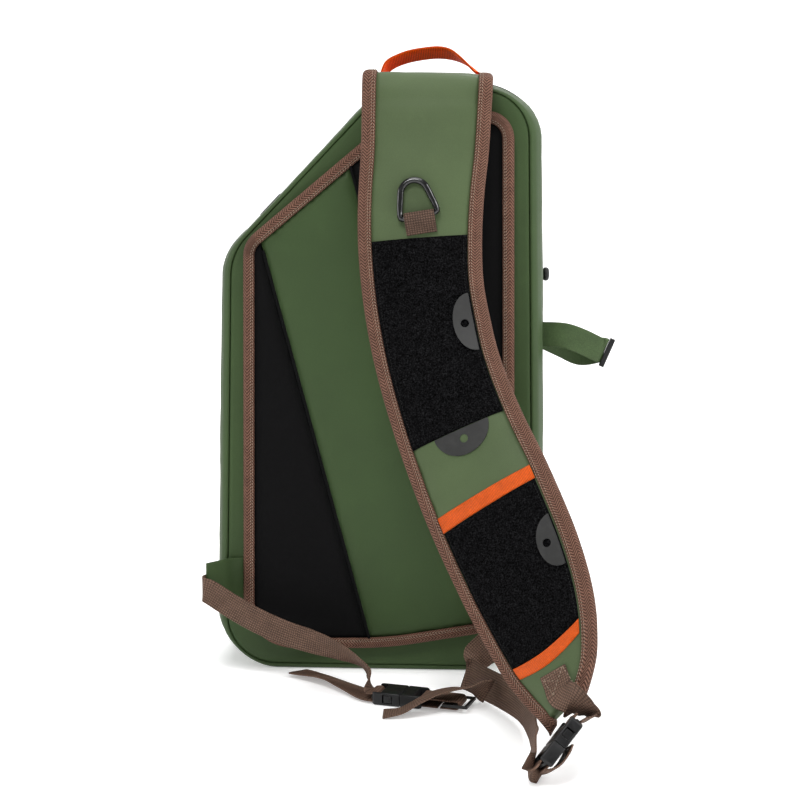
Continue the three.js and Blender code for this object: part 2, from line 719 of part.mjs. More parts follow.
// D-ring: its bar lies across the strap, in the loop of the keeper
const keeperInner = RING_WIRE / 2 + GAP;
const barLift = faceLift + GAP + WEB_THICK + keeperInner;
const ringFrame = strapFrame(RING_PLACE);
const ringRight = ringFrame.cross.clone();
const ringFace = ringFrame.run.clone().cross(ringRight).normalize();
const ringUp = ringFace.clone().cross(ringRight).normalize();
const ringAcross = ringRight.clone().multiplyScalar(Math.cos(rad(RING_TURN)))
  .addScaledVector(ringUp, Math.sin(rad(RING_TURN)));
const ringAlong = ringFace.clone().cross(ringAcross).normalize();
const ringCentre = strapPoint(RING_PLACE, 0, barLift);
const ringPoint = (x, along, lift) => ringCentre.clone()
  .addScaledVector(ringAcross, x)
  .addScaledVector(ringAlong, along)
  .addScaledVector(ringFace, lift);

// The ring leans back until its bow meets the strap
const lieBack = (along) => -(along / RING_HEIGHT) * (WEB_THICK - 0.2);
const RING_SIDES = 10;
const ringPath = (() => {
  const path = [];
  const foot = RING_WIDTH / 2;
  const leg = RING_HEIGHT - RING_BOW;
  const bend = Math.acos(RING_BOW / Math.hypot(foot, leg)) - Math.atan2(leg, foot);
  const arc = spaced(bend, Math.PI - bend, 14).map((a) => ({
    x: RING_BOW * Math.cos(a),
    up: leg + RING_BOW * Math.sin(a),
  }));
  const [first, last] = [arc[0], arc[arc.length - 1]];
  spaced(-foot, foot, 4).forEach((x) => path.push({ x, up: 0 }));
  path.push({ x: lerp(foot, first.x, 0.5), up: first.up / 2 });
  path.push(...arc);
  path.push({ x: lerp(-foot, last.x, 0.5), up: last.up / 2 });
  return path;
})();
const ringRings = ringPath.map((place, i) => {
  const before = ringPath[(i + ringPath.length - 1) % ringPath.length];
  const after = ringPath[(i + 1) % ringPath.length];
  const way = new THREE.Vector2(after.x - before.x, after.up - before.up).normalize();
  return Array.from({ length: RING_SIDES }, (_, k) => {
    const angle = (k / RING_SIDES) * Math.PI * 2;
    const off = (Math.cos(angle) * RING_WIRE) / 2;
    const up = place.up + off * -way.x;
    return ringPoint(place.x + off * way.y, up, lieBack(up) + (Math.sin(angle) * RING_WIRE) / 2);
  });
});
add('d_ring', loft(ringRings, true), BLACK_PLASTIC);

// Keeper: webbing that runs up the strap, round the bar and back down over itself
const keeperMiddle = keeperInner + WEB_THICK / 2;
const keeperPath = [
  { along: -KEEPER_LENGTH, lift: -keeperMiddle },
  { along: -KEEPER_LENGTH / 2, lift: -keeperMiddle },
  ...spaced(-Math.PI / 2, Math.PI / 2, 8).map((a) => ({
    along: keeperMiddle * Math.cos(a),
    lift: keeperMiddle * Math.sin(a),
  })),
  { along: -KEEPER_LENGTH * 0.35, lift: keeperMiddle * 0.95 },
  { along: -KEEPER_LENGTH * 0.8, lift: -keeperMiddle + WEB_THICK + GAP + 0.9 },
  { along: -KEEPER_LENGTH, lift: -keeperMiddle + WEB_THICK + GAP },
];
const keeperRows = (sign) => keeperPath.map((place, i) => {
  const before = keeperPath[Math.max(0, i - 1)];
  const after = keeperPath[Math.min(keeperPath.length - 1, i + 1)];
  const way = new THREE.Vector2(after.along - before.along, after.lift - before.lift).normalize();
  const along = place.along - (sign * way.y * WEB_THICK) / 2;
  const lift = place.lift + (sign * way.x * WEB_THICK) / 2;
  return spaced(-KEEPER_WIDTH / 2, KEEPER_WIDTH / 2, 1).map((x) => ringPoint(x, along, lift));
});
add('d_ring_keeper', slab(keeperRows(1), keeperRows(-1)), BROWN_WEB);

// Webbing ribbon through rows of middle points and cross lines
function ribbon(rows, width, thick, steps, cols = 1) {
  const path = new THREE.CatmullRomCurve3(rows.map((row) => row.at), false, 'centripetal');
  const spans = rows.length - 1;
  const frames = spaced(0, 1, steps).map((t) => {
    const run = path.getTangent(t);
    const at = t * spans;
    const cross = v3(...['x', 'y', 'z'].map((axis) => smooth(rows.map((row) => row.cross[axis]), at)));
    cross.addScaledVector(run, -cross.dot(run)).normalize();
    return { middle: path.getPoint(t), cross, face: run.clone().cross(cross) };
  });
  const skin = (sign) => frames.map((frame) => spaced(-width / 2, width / 2, cols).map((x) => (
    frame.middle.clone().addScaledVector(frame.cross, x).addScaledVector(frame.face, (sign * thick) / 2)
  )));
  return slab(skin(1), skin(-1));
}

// Carry handle behind the strap's root, leaning back. Shares of its span and rise, and of its lean
const handleFoot = BAG_TOP + SEAM + 2 * GAP + HANDLE_THICK / 2;
const HANDLE_Y = BACK_Y + STRAP_ROOT + HANDLE_WIDTH / 2 + 4;
const leanBack = rad(HANDLE_LEAN);
const handleRows = [
  { side: -0.26, rise: 0, lean: 0 },
  { side: -0.4, rise: 0, lean: 0 },
  { side: -0.49, rise: 0.14, lean: 0.4 },
  { side: -0.45, rise: 0.5, lean: 1 },
  { side: -0.3, rise: 0.8, lean: 1 },
  { side: -0.02, rise: 1, lean: 1 },
  { side: 0.17, rise: 0.97, lean: 0.9 },
  { side: 0.34, rise: 0.66, lean: 0.2 },
  { side: 0.47, rise: 0.18, lean: -0.3 },
  { side: 0.42, rise: 0, lean: 0 },
  { side: 0.26, rise: 0, lean: 0 },
].map((row) => ({
  at: v3(
    STRAP_MIDDLE + row.side * HANDLE_SPAN,
    HANDLE_Y + row.rise * HANDLE_RISE * Math.sin(leanBack),
    handleFoot + row.rise * HANDLE_RISE,
  ),
  cross: v3(0, Math.cos(leanBack * row.lean), -Math.sin(leanBack * row.lean)),
}));
add('carry_handle', ribbon(handleRows, HANDLE_WIDTH, HANDLE_THICK, 36), ORANGE_WEB);

// Side of the bag: the right edge line of the band where it stands proudest
function sideX(z) {
  const { footRight, topRight } = panelCorners;
  const x = lerp(footRight.x, topRight.x, (z - footRight.z) / (topRight.z - footRight.z));
  return x + SEAM + WALL + SIDE_SWELL;
}

// Round stud on the right side
const studProfile = [
  [0, 0],
  [0.8, 0],
  [1, 0.25],
  [1, 0.6],
  [0.8, 0.9],
  [0.4, 1],
  [0, 1],
].map(([r, h]) => new THREE.Vector2((r * STUD_DIAMETER) / 2, h * STUD_HEIGHT));
const stud = new THREE.LatheGeometry(studProfile, 16);
stud.rotateZ(-Math.PI / 2);
stud.translate(sideX(STUD_PLACE) + GAP, 0, STUD_PLACE);
add('side_stud', stud, BLACK_PLASTIC);

// Loop band on the right side: out along the front, back behind. Shares of its reach, opening and droop
const loopRoot = sideX(LOOP_PLACE - LOOP_BAND) + 2 * (GAP + WEB_THICK);
const loopRows = [
  { out: 0, along: -1, drop: 0, slant: 0 },
  { out: 0.3, along: -1.25, drop: 0.04, slant: 0.2 },
  { out: 0.6, along: -0.95, drop: 0.45, slant: 0.7 },
  { out: 0.95, along: -0.25, drop: 1.05, slant: 1 },
  { out: 1, along: 0, drop: 1.05, slant: 1 },
  { out: 0.95, along: 0.25, drop: 1.05, slant: 1 },
  { out: 0.62, along: 0.8, drop: 1.3, slant: 0.8 },
  { out: 0.3, along: 0.85, drop: 0.85, slant: 0.5 },
  { out: 0.055, along: 0.5, drop: 0.2, slant: 0.1 },
].map((row) => ({
  at: v3(
    loopRoot + row.out * LOOP_REACH,
    -LOOP_OPEN / 2 + (row.along * LOOP_OPEN) / 2,
    LOOP_PLACE - row.drop * LOOP_DROOP,
  ),
  cross: v3(0.42 * row.slant, 0, 1).normalize(),
}));
add('side_loop', ribbon(loopRows, LOOP_BAND, WEB_THICK, 30), GREEN_EDGE);

// Wing flaps under the pad's lower corners, and the webbing that they hold
function wing(side) {
  const rootX = side < 0 ? padFootLeft.x : padFootRight.x;
  const rows = [
    { at: v3(rootX + side * GAP, BACK_Y - GAP - WING_THICK / 2, WING_PLACE), cross: v3(0, 0, 1) },
    { at: v3(rootX + side * WING_REACH * 0.4, BACK_Y - 5, WING_PLACE), cross: v3(0, 0, 1) },
    { at: v3(rootX + side * WING_REACH, BACK_Y - 22, WING_PLACE), cross: v3(0, 0, 1) },
  ];
  return ribbon(rows, WING_HEIGHT, WING_THICK, 6);
}
add('wing_left', wing(-1), GREEN_TPU);
add('wing_right', wing(1), GREEN_TPU);

// Side-release buckle in its own frame: length along X, width along Y, thickness along Z.
// The socket is at +X, with a webbing bar at its end; the plug is at -X, with its own bar
function buckle(name, webbing, length) {
  const width = webbing + 2 * BUCKLE_RIM;
  const [w, t] = [width / 2, BUCKLE_THICK / 2];
  const end = length / 2;
  const socketStart = -0.06 * length;
  const slotHalf = webbing / 2 + 0.5;
  const holeDepth = 5;
  const [barHalf, barHigh] = [BAR_WIDTH / 2, BAR_THICK / 2];
  const holeFrom = end - 2 * barHalf - holeDepth;
  const throatEnd = holeFrom - BUCKLE_WALL - 0.6;
  const outlineShape = (x0, x1, cut) => {
    const shape = new THREE.Shape();
    shape.moveTo(x0, -w);
    shape.lineTo(x1 - cut, -w);
    shape.lineTo(x1, -w + cut);
    shape.lineTo(x1, w - cut);
    shape.lineTo(x1 - cut, w);
    shape.lineTo(x0, w);
    const body = new THREE.ExtrudeGeometry(shape, {
      depth: BUCKLE_THICK - 2,
      bevelEnabled: true,
      bevelThickness: 1,
      bevelSize: 0.8,
      bevelOffset: -0.8,
      bevelSegments: 2,
    });
    body.translate(0, 0, -t + 1);
    return body;
  };
  const through = 2 * length;
  const throat = w - BUCKLE_WALL;
  const throatHigh = t - BUCKLE_WALL;
  const socket = solid(outlineShape(socketStart, end, 3))
    .subtract(box(socketStart - 1, throatEnd, -throat, throat, -throatHigh, throatHigh))
    .subtract(box(0.08 * length, 0.27 * length, throat - 2, width, -throatHigh, throatHigh))
    .subtract(box(0.08 * length, 0.27 * length, -width, -throat + 2, -throatHigh, throatHigh))
    .subtract(box(holeFrom, end - 2 * barHalf, -slotHalf, slotHalf, -through, through))
    .subtract(box(end - BAR_WIDTH - 1, through, -slotHalf, slotHalf, barHigh, through))
    .subtract(box(end - BAR_WIDTH - 1, through, -slotHalf, slotHalf, -through, -barHigh));
  const plugFlip = outlineShape(-socketStart + GAP, end, 3);
  plugFlip.rotateZ(Math.PI);
  const armHigh = throatHigh - GAP;
  const armReach = throatEnd - GAP;
  const bladeWidth = 3.5;
  const [plugHoleFrom, plugHoleTo] = [-end + 2 * barHalf, -end + 2 * barHalf + holeDepth];
  const plug = solid(plugFlip)
    .subtract(box(plugHoleFrom, plugHoleTo, -slotHalf, slotHalf, -through, through))
    .subtract(box(-through, plugHoleFrom + 1, -slotHalf, slotHalf, barHigh, through))
    .subtract(box(-through, plugHoleFrom + 1, -slotHalf, slotHalf, -through, -barHigh))
    .add(box(socketStart - 2, armReach, -bladeWidth / 2, bladeWidth / 2, -armHigh, armHigh))
    .add(box(socketStart - 2, armReach, throat - GAP - bladeWidth, throat - GAP, -armHigh, armHigh))
    .add(box(socketStart - 2, armReach, -throat + GAP, -throat + GAP + bladeWidth, -armHigh, armHigh))
    .add(box(0.09 * length, armReach, throat - 1, w, -armHigh, armHigh))
    .add(box(0.09 * length, armReach, -w, -throat + 1, -armHigh, armHigh));
  return { socket: meshed(socket), plug: meshed(plug), bar: end - barHalf, name };
}

// Where a buckle lies: its middle, and the directions of its length and width
function buckleFrame(middle, along, across) {
  const x = along.clone().normalize();
  const y = across.clone().addScaledVector(x, -across.dot(x)).normalize();
  const matrix = new THREE.Matrix4().makeBasis(x, y, x.clone().cross(y));
  matrix.setPosition(middle);
  return matrix;
}

function addBuckle(made, matrix) {
  const group = new THREE.Group();
  group.applyMatrix4(matrix);
  bag.add(group);
  add(`${made.name}_socket`, made.socket, BLACK_PLASTIC, group);
  add(`${made.name}_plug`, made.plug, BLACK_PLASTIC, group);
}

// Rows that carry webbing round a buckle's bar and back over itself. sign picks the end of the buckle
const barRing = Math.hypot(BAR_WIDTH, BAR_THICK) / 2 + GAP + WEB_THICK / 2;

function roundBar(made, matrix, sign, lead, tail, flip = 1) {
  const spots = [
    { x: made.bar + lead, z: -barRing * flip },
    ...spaced(-Math.PI / 2, Math.PI / 2, 6).map((a) => ({
      x: made.bar - barRing * Math.cos(a),
      z: barRing * Math.sin(a) * flip,
    })),
    { x: made.bar + tail, z: barRing * flip },
  ];
  const across = v3(0, 1, 0).transformDirection(matrix);
  return spots.map((spot) => ({ at: v3(spot.x * sign, 0, spot.z).applyMatrix4(matrix), cross: across }));
}

// Buckle at the strap's tip: it stands on its edge and leans towards the front
const tip = strapPoint(STRAP_END, 0, 0);
const TIP_BUCKLE = 40;
const tipBuckle = buckle('tip_buckle', WEB_WIDE, TIP_BUCKLE);
const tipFrame = buckleFrame(tip.clone().add(v3(-2, -22, -9.5)), v3(20, 16, 22), v3(0.16, -0.89, 0.42));
addBuckle(tipBuckle, tipFrame);

// Buckle at the left: it lies flat on the floor
const FLOOR_BUCKLE = 42;
const floorBuckle = buckle('floor_buckle', WEB_NARROW, FLOOR_BUCKLE);
const floorMiddle = v3(22, CREST_Y - 59, BUCKLE_THICK / 2 + GAP);
const floorFrame = buckleFrame(floorMiddle, v3(-0.965, 0.26, 0), v3(-0.26, -0.965, 0));
addBuckle(floorBuckle, floorFrame);

// Rows of a webbing route: a share of the way between two places, with offsets as shares of that way
function route(from, to, rows) {
  const way = to.clone().sub(from);
  const span = way.length();
  return rows.map((row) => ({
    at: from.clone().addScaledVector(way, row.along).add(v3(row.side, row.out, row.up).multiplyScalar(span)),
    cross: v3(...row.cross).normalize(),
  }));
}

// Waist webbing on the left: round the wing's end, down across the back, twisting into the floor buckle,
// and its tail back along the floor
const wingEnd = v3(padFootLeft.x - WING_REACH, BACK_Y - 22, WING_PLACE);
const floorLeft = v3(floorBuckle.bar, 0, 0).applyMatrix4(floorFrame);
const waistRows = [
  ...route(wingEnd, floorLeft, [
    { along: 0, side: 0.037, out: 0.067, up: -0.018, cross: [0, 0, 1] },
    { along: 0, side: 0.006, out: 0.035, up: -0.018, cross: [0, 0, 1] },
    { along: 0, side: -0.0175, out: -0.0085, up: -0.018, cross: [0, 0, 1] },
    { along: 0, side: -0.009, out: -0.029, up: -0.021, cross: [0.05, 0, 1] },
    { along: 0, side: 0.018, out: -0.038, up: -0.03, cross: [0.2, 0, 1] },
    { along: 0.14, side: 0, out: -0.01, up: -0.028, cross: [0.33, 0, 0.94] },
    { along: 0.283, side: 0, out: 0.01, up: -0.027, cross: [0.35, 0, 0.94] },
    { along: 0.46, side: 0, out: 0.03, up: -0.005, cross: [0.33, -0.05, 0.94] },
    { along: 0.617, side: 0, out: 0.045, up: 0.032, cross: [0.33, -0.2, 0.9] },
    { along: 0.773, side: 0, out: 0.052, up: 0.068, cross: [0.38, -0.6, 0.7] },
    { along: 0.88, side: 0, out: 0.043, up: 0.085, cross: [0.4, -0.85, 0.3] },
    { along: 0.94, side: 0.004, out: 0.03, up: 0.068, cross: [0.35, -0.93, 0.05] },
  ]),
  ...roundBar(floorBuckle, floorFrame, 1, 5, 6, -1),
  ...route(floorLeft, v3(wingEnd.x / 2, BACK_Y - 12, WEB_THICK), [
    { along: 0.3, side: 0.01, out: -0.02, up: -0.01, cross: [-0.5, -0.85, 0.1] },
    { along: 0.6, side: 0.02, out: -0.02, up: 0.02, cross: [-0.35, -0.93, 0.25] },
    { along: 0.98, side: 0.02, out: -0.02, up: 0.01, cross: [-0.2, -0.97, 0.1] },
  ]),
];
add('waist_webbing_left', ribbon(waistRows, WEB_NARROW, WEB_THICK, 90), BROWN_WEB);

// Ladder slide at the right of the floor buckle, and the short loop of webbing between the two
const SLIDE_LENGTH = 20;
const SLIDE_AWAY = 27; // from the buckle's bar
const slideMiddle = v3(-floorBuckle.bar - SLIDE_AWAY, 0, 0);
const slideHalf = WEB_NARROW / 2 + BUCKLE_RIM;
const slotReach = SLIDE_LENGTH / 2 - BUCKLE_RIM;
const slideGroup = new THREE.Group();
slideGroup.applyMatrix4(floorFrame);
bag.add(slideGroup);
const slideFrame = [
  box(-SLIDE_LENGTH / 2, SLIDE_LENGTH / 2, -slideHalf, slideHalf, -BAR_THICK / 2, BAR_THICK / 2),
  box(BAR_WIDTH / 2, slotReach, 1 - slideHalf, slideHalf - 1, -BAR_THICK, BAR_THICK),
  box(-slotReach, -BAR_WIDTH / 2, 1 - slideHalf, slideHalf - 1, -BAR_THICK, BAR_THICK),
].reduce((body, cut) => body.subtract(cut));
const slide = meshed(slideFrame);
slide.translate(slideMiddle.x, 0, 0);
add('tri_glide', slide, BLACK_PLASTIC, slideGroup);

const [loopNear, loopFar] = [-floorBuckle.bar, slideMiddle.x];
const loopPath = [
  { x: lerp(loopNear, loopFar, 0.55), z: -barRing },
  { x: loopFar + 4, z: -barRing },
  ...spaced(0, Math.PI, 6).map((a) => ({
    x: loopFar - barRing * Math.sin(a),
    z: -barRing * Math.cos(a),
  })),
  { x: loopFar + 4, z: barRing },
  { x: loopNear - 4, z: barRing },
  ...spaced(0, Math.PI, 6).map((a) => ({
    x: loopNear + barRing * Math.sin(a),
    z: barRing * Math.cos(a),
  })),
  { x: loopNear - 4, z: -barRing },
  { x: lerp(loopNear, loopFar, 0.47), z: -barRing },
];
const loopCross = v3(0, 1, 0).transformDirection(floorFrame);
const loopWebRows = loopPath.map((spot) => ({
  at: v3(spot.x, 0, spot.z).applyMatrix4(floorFrame),
  cross: loopCross,
}));
add('waist_loop', ribbon(loopWebRows, WEB_NARROW, WEB_THICK, 60), BROWN_WEB);

// Main webbing: from the right wing to a fold on the floor, then on its edge to the strap's tip buckle
const foldPlace = v3(STRAP_MIDDLE + 32, CREST_Y - 24, WEB_WIDE / 2 + GAP);
const wingRightFace = v3(padFootRight.x + WING_REACH / 3, BACK_Y - 19, WING_PLACE - 4);
const tipPlug = v3(-tipBuckle.bar, 0, 0).applyMatrix4(tipFrame);
const tailReach = TIP_BUCKLE / 2;
const tailRows = [
  { along: -0.85, off: 0.36 },
  { along: -0.5, off: 0.46 },
  { along: -0.05, off: 0.43 },
  { along: 0.2, off: 0.36 },
].map((row) => ({
  at: v3(row.along * tailReach, 0, row.off * tailReach).applyMatrix4(tipFrame),
  cross: v3(0, 1, 0).transformDirection(tipFrame),
}));
const mainRows = [
  ...route(wingRightFace, foldPlace, [
    { along: 0, side: 0, out: 0, up: 0, cross: [-0.2, 0, 1] },
    { along: 0.3, side: 0.02, out: -0.05, up: -0.03, cross: [-0.3, 0, 1] },
    { along: 0.6, side: 0.01, out: -0.02, up: -0.02, cross: [-0.1, 0, 1] },
    { along: 0.86, side: 0, out: 0.045, up: 0.01, cross: [0.2, 0, 1] },
    { along: 0.97, side: 0.01, out: 0.04, up: 0.005, cross: [0.27, 0, 0.96] },
  ]),
  ...route(foldPlace, tipPlug, [
    { along: 0, side: 0, out: 0, up: 0, cross: [0.27, 0, 0.96] },
    { along: 0.02, side: 0.012, out: -0.003, up: 0.002, cross: [0.27, 0, 0.96] },
    { along: 0.11, side: 0.034, out: 0.005, up: 0, cross: [0.2, 0.1, 0.97] },
    { along: 0.26, side: 0.072, out: 0.01, up: 0.005, cross: [0.15, 0.1, 0.98] },
    { along: 0.43, side: 0.09, out: 0.015, up: 0.01, cross: [0.1, -0.05, 0.99] },
    { along: 0.64, side: 0.067, out: 0.02, up: 0.012, cross: [0.1, -0.2, 0.97] },
    { along: 0.83, side: 0.024, out: 0.03, up: 0.013, cross: [0.12, -0.6, 0.78] },
    { along: 0.93, side: -0.01, out: 0.02, up: 0.025, cross: [0.14, -0.88, 0.43] },
  ]),
  ...roundBar(tipBuckle, tipFrame, -1, 5, 3),
  ...tailRows,
];
add('main_webbing', ribbon(mainRows, WEB_WIDE, WEB_THICK, 110), BROWN_WEB);

// Webbing sewn on the strap's tip, folded into the tip buckle's socket
const END_WEB = 22;
const webLift = faceLift + GAP + WEB_THICK / 2;
const tipSocket = v3(tipBuckle.bar, 0, 0).applyMatrix4(tipFrame);
const tipSewn = (length, across, lift) => {
  const frame = strapFrame(length);
  return { at: strapPoint(length, across, webLift + lift), cross: frame.cross };
};
const boxStart = STRAP_END - 36;
const endFold = tip.clone().add(v3(22, -6, 5.5));
const endRows = [
  tipSewn(boxStart, 0, 0.2),
  tipSewn(boxStart + 10, 1.5, 0.5),
  tipSewn(boxStart + 19, 4, 1.6),
  { at: endFold.clone().add(v3(-13, -0.4, 12.2)), cross: v3(0.64, -0.3, 0.7).normalize() },
  { at: endFold.clone().add(v3(-5, -1.2, 5.8)), cross: v3(0.38, -0.6, 0.7).normalize() },
  { at: endFold, cross: v3(0.3, -0.77, 0.5).normalize() },
  ...roundBar(tipBuckle, tipFrame, 1, 4, 5, -1),
];
add('strap_end_webbing', ribbon(endRows, END_WEB, WEB_THICK, 50), BROWN_WEB);

// Waist webbing on the right: from the floor in front of the buckle, in a low arch, to the main webbing
const archStart = floorMiddle.clone().add(v3(-12, -31, -4.2));
const archEnd = foldPlace.clone().add(v3(18.6, -40.3, -1));
const archRows = route(archStart, archEnd, [
  { along: 0, side: 0, out: 0, up: 0, cross: [0.1, -0.99, 0] },
  { along: 0.17, side: 0, out: -0.05, up: 0.01, cross: [0.1, -0.98, 0.1] },
  { along: 0.34, side: 0, out: -0.08, up: 0.075, cross: [0.12, -0.97, 0.12] },
  { along: 0.49, side: 0, out: -0.06, up: 0.11, cross: [0.15, -0.95, 0.15] },
  { along: 0.64, side: 0, out: -0.04, up: 0.11, cross: [0.15, -0.95, 0.2] },
  { along: 0.79, side: 0, out: -0.03, up: 0.09, cross: [0.2, -0.9, 0.35] },
  { along: 0.91, side: 0, out: -0.015, up: 0.06, cross: [0.15, -0.6, 0.75] },
  { along: 1, side: 0, out: 0, up: 0, cross: [0.05, -0.1, 0.99] },
]);
add('waist_webbing_right', ribbon(archRows, WEB_NARROW, WEB_THICK, 24), BROWN_WEB);

// Black bar that closes the end of the side loop
const LOOP_BAR = { long: LOOP_BAND + 4, deep: 5, thick: 4 };
const barPlace = loopRows[4];
const barOut = v3(barPlace.cross.z, 0, -barPlace.cross.x);
const barGroup = new THREE.Group();
barGroup.position.copy(barPlace.at).addScaledVector(barOut, LOOP_BAR.thick / 2 + WEB_THICK + 5 * GAP);
barGroup.rotation.y = Math.atan2(barPlace.cross.x, barPlace.cross.z);
bag.add(barGroup);
const loopBar = new THREE.BoxGeometry(LOOP_BAR.thick, LOOP_BAR.deep, LOOP_BAR.long);
add('side_loop_bar', loopBar, BLACK_PLASTIC, barGroup);

export default bag;
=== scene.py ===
"""Fishing tackle sling bag: cloth, tape, webbing and moulded pieces dressed over the fixed frame."""

import math

import bmesh
import bpy
from mathutils import Matrix, Vector, noise


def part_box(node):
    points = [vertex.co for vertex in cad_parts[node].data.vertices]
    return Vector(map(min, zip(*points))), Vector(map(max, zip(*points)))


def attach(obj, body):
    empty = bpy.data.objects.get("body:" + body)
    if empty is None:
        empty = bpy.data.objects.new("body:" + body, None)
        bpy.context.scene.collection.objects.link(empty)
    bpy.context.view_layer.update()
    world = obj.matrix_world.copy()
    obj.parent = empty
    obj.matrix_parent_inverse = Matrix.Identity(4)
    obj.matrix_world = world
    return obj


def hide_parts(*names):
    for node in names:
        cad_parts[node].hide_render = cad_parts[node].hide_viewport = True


bl_info = {
    "name": "Sling bag",
    "version": (1, 0, 0),
    "blender": (4, 5, 0),
    "location": "3D View > Sidebar > Sling bag",
    "description": "Builds a fishing tackle sling bag over its fixed frame",
    "category": "Add Mesh",
}

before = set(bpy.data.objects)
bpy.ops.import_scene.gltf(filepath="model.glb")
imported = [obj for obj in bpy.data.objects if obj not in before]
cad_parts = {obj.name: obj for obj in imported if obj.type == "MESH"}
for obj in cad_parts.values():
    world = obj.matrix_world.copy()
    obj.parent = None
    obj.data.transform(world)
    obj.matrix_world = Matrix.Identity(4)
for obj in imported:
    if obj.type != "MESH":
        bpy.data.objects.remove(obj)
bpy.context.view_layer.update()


# Sizes, in metres


def length_of(name, text, default):
    return bpy.props.FloatProperty(name=name, description=text, default=default, unit="LENGTH")


class BagSizes(bpy.types.PropertyGroup):
    """Sizes of the bag's shell and back pad"""

    depth: length_of("Depth", "Back seam to front seam", 0.11)
    height: length_of("Height", "Back panel, seam to seam", 0.461)
    width: length_of("Width", "Back panel at its foot", 0.249)
    wall: length_of("Wall", "Thickness of the coated fabric", 0.002)
    side_swell: length_of("Side swell", "How far the side band stands out", 0.008)
    front_inset: length_of("Front inset", "The front panel is smaller by this", 0.009)
    front_crown: length_of("Front crown", "Swell of the front panel", 0.007)
    pad_thick: length_of("Pad thickness", "Back pad", 0.009)
    pad_tape: length_of("Pad tape", "Width of the binding on the pad's face", 0.0085)
    zip_offset: length_of("Zip offset", "Middle of the zip in front of the bag's middle", 0.027)
    zip_slot: length_of("Zip slot", "Width of the slot for the zip", 0.01)


class StrapSizes(bpy.types.PropertyGroup):
    """Sizes of the shoulder strap and its trim"""

    width: length_of("Width", "Strap, edge to edge", 0.1)
    thick: length_of("Thickness", "Padded core", 0.007)
    tape: length_of("Tape", "Width of the binding", 0.011)
    crown: length_of("Crown", "How far the long edges curl back", 0.005)
    drop: length_of("Drop", "Crest to tip, straight down", 0.438)
    side: length_of("Side sweep", "How far the tip swings sideways", 0.102)
    reach: length_of("Reach", "How far the tip stands out", 0.198)
    web_wide: length_of("Wide webbing", "Width of the main webbing", 0.025)
    web_narrow: length_of("Narrow webbing", "Width of the waist webbing", 0.02)
    web_thick: length_of("Webbing thickness", "All webbing", 0.0015)
    handle_span: length_of("Handle span", "Foot to foot", 0.08)
    handle_rise: length_of("Handle rise", "Height over its feet", 0.023)


def shade(name, text, colour):
    return bpy.props.FloatVectorProperty(
        name=name, description=text, subtype="COLOR", size=3, min=0, max=1, default=colour
    )


class BagColours(bpy.types.PropertyGroup):
    """Colours of the cloth, tape, webbing and moulded pieces"""

    green: shade("Coated green", "Shoulder strap", (0.064, 0.092, 0.040))
    # Painted shade: the strap's coated cloth made darker for the shell, back pad and wings, which get less
    # light
    green_shaded: shade("Shaded green", "Bag shell, back pad and wings", (0.036, 0.063, 0.021))
    green_light: shade("Light green", "Side loop", (0.047, 0.078, 0.028))
    foam: shade("Black foam", "Smooth outer pads", (0.0035, 0.0035, 0.0037))
    pile: shade("Loop pile", "Patches on the strap", (0.0028, 0.0028, 0.0030))
    tape: shade("Binding tape", "Herringbone edge tape", (0.128, 0.064, 0.044))
    webbing: shade("Webbing", "Brown straps", (0.105, 0.061, 0.042))
    orange: shade("Orange", "Handle and bands", (0.54, 0.072, 0.001))
    # Painted light: the bands' orange made brighter to make up for the shade on the handle's face
    handle: shade("Brightened handle orange", "Carry handle", (0.80, 0.085, 0.002))
    rubber: shade("Grey rubber", "Tabs", (0.037, 0.037, 0.0365))
    plastic: shade("Black plastic", "Buckles and fittings", (0.007, 0.007, 0.0075))
    thread: shade("Thread", "Light stitching", (0.31, 0.235, 0.175))
    floor: shade("Floor", "Pale studio floor", (0.90, 0.90, 0.90))


def sizes():
    return bpy.context.scene.bag_sizes


def strap_sizes():
    return bpy.context.scene.strap_sizes


def colours():
    return bpy.context.scene.bag_colours


# Small helpers


def lerp(a, b, t):
    return a + (b - a) * t


def clamp(value, low, high):
    return max(low, min(high, value))


def smoothstep(value, low, high):
    t = clamp((value - low) / (high - low), 0, 1)
    return t * t * (3 - 2 * t)


def spaced(start, end, count):
    return [lerp(start, end, i / count) for i in range(count + 1)]


def catmull(values, at):
    """Smooth value at a fractional index of a list"""
    last = len(values) - 1
    i = min(last - 1, int(at))
    t = at - i
    p = [values[clamp(k, 0, last)] for k in (i - 1, i, i + 1, i + 2)]
    a = -0.5 * p[0] + 1.5 * p[1] - 1.5 * p[2] + 0.5 * p[3]
    b = p[0] - 2.5 * p[1] + 2 * p[2] - 0.5 * p[3]
    return ((a * t + b) * t + 0.5 * (p[2] - p[0])) * t + p[1]


class Path:
    """Centripetal curve through points, read by a share of its points"""

    def __init__(self, points):
        self.points = points

    def at(self, share):
        pts = self.points
        place = clamp(share, 0, 1) * (len(pts) - 1)
        i = min(len(pts) - 2, int(place))
        w = place - i
        p0 = pts[i - 1] if i > 0 else pts[0] * 2 - pts[1]
        p1, p2 = pts[i], pts[i + 1]
        p3 = pts[i + 2] if i + 2 < len(pts) else pts[-1] * 2 - pts[-2]
        d1 = max(1e-9, (p2 - p1).length ** 0.5)
        d0 = (p1 - p0).length ** 0.5 or d1
        d2 = (p3 - p2).length ** 0.5 or d1
        t1 = ((p1 - p0) / d0 - (p2 - p0) / (d0 + d1) + (p2 - p1) / d1) * d1
        t2 = ((p2 - p1) / d1 - (p3 - p1) / (d1 + d2) + (p3 - p2) / d2) * d1
        return p1 + w * (t1 + w * (3 * (p2 - p1) - 2 * t1 - t2 + w * (2 * (p1 - p2) + t1 + t2)))

    def run(self, share):
        return (self.at(min(1, share + 1e-4)) - self.at(max(0, share - 1e-4))).normalized()


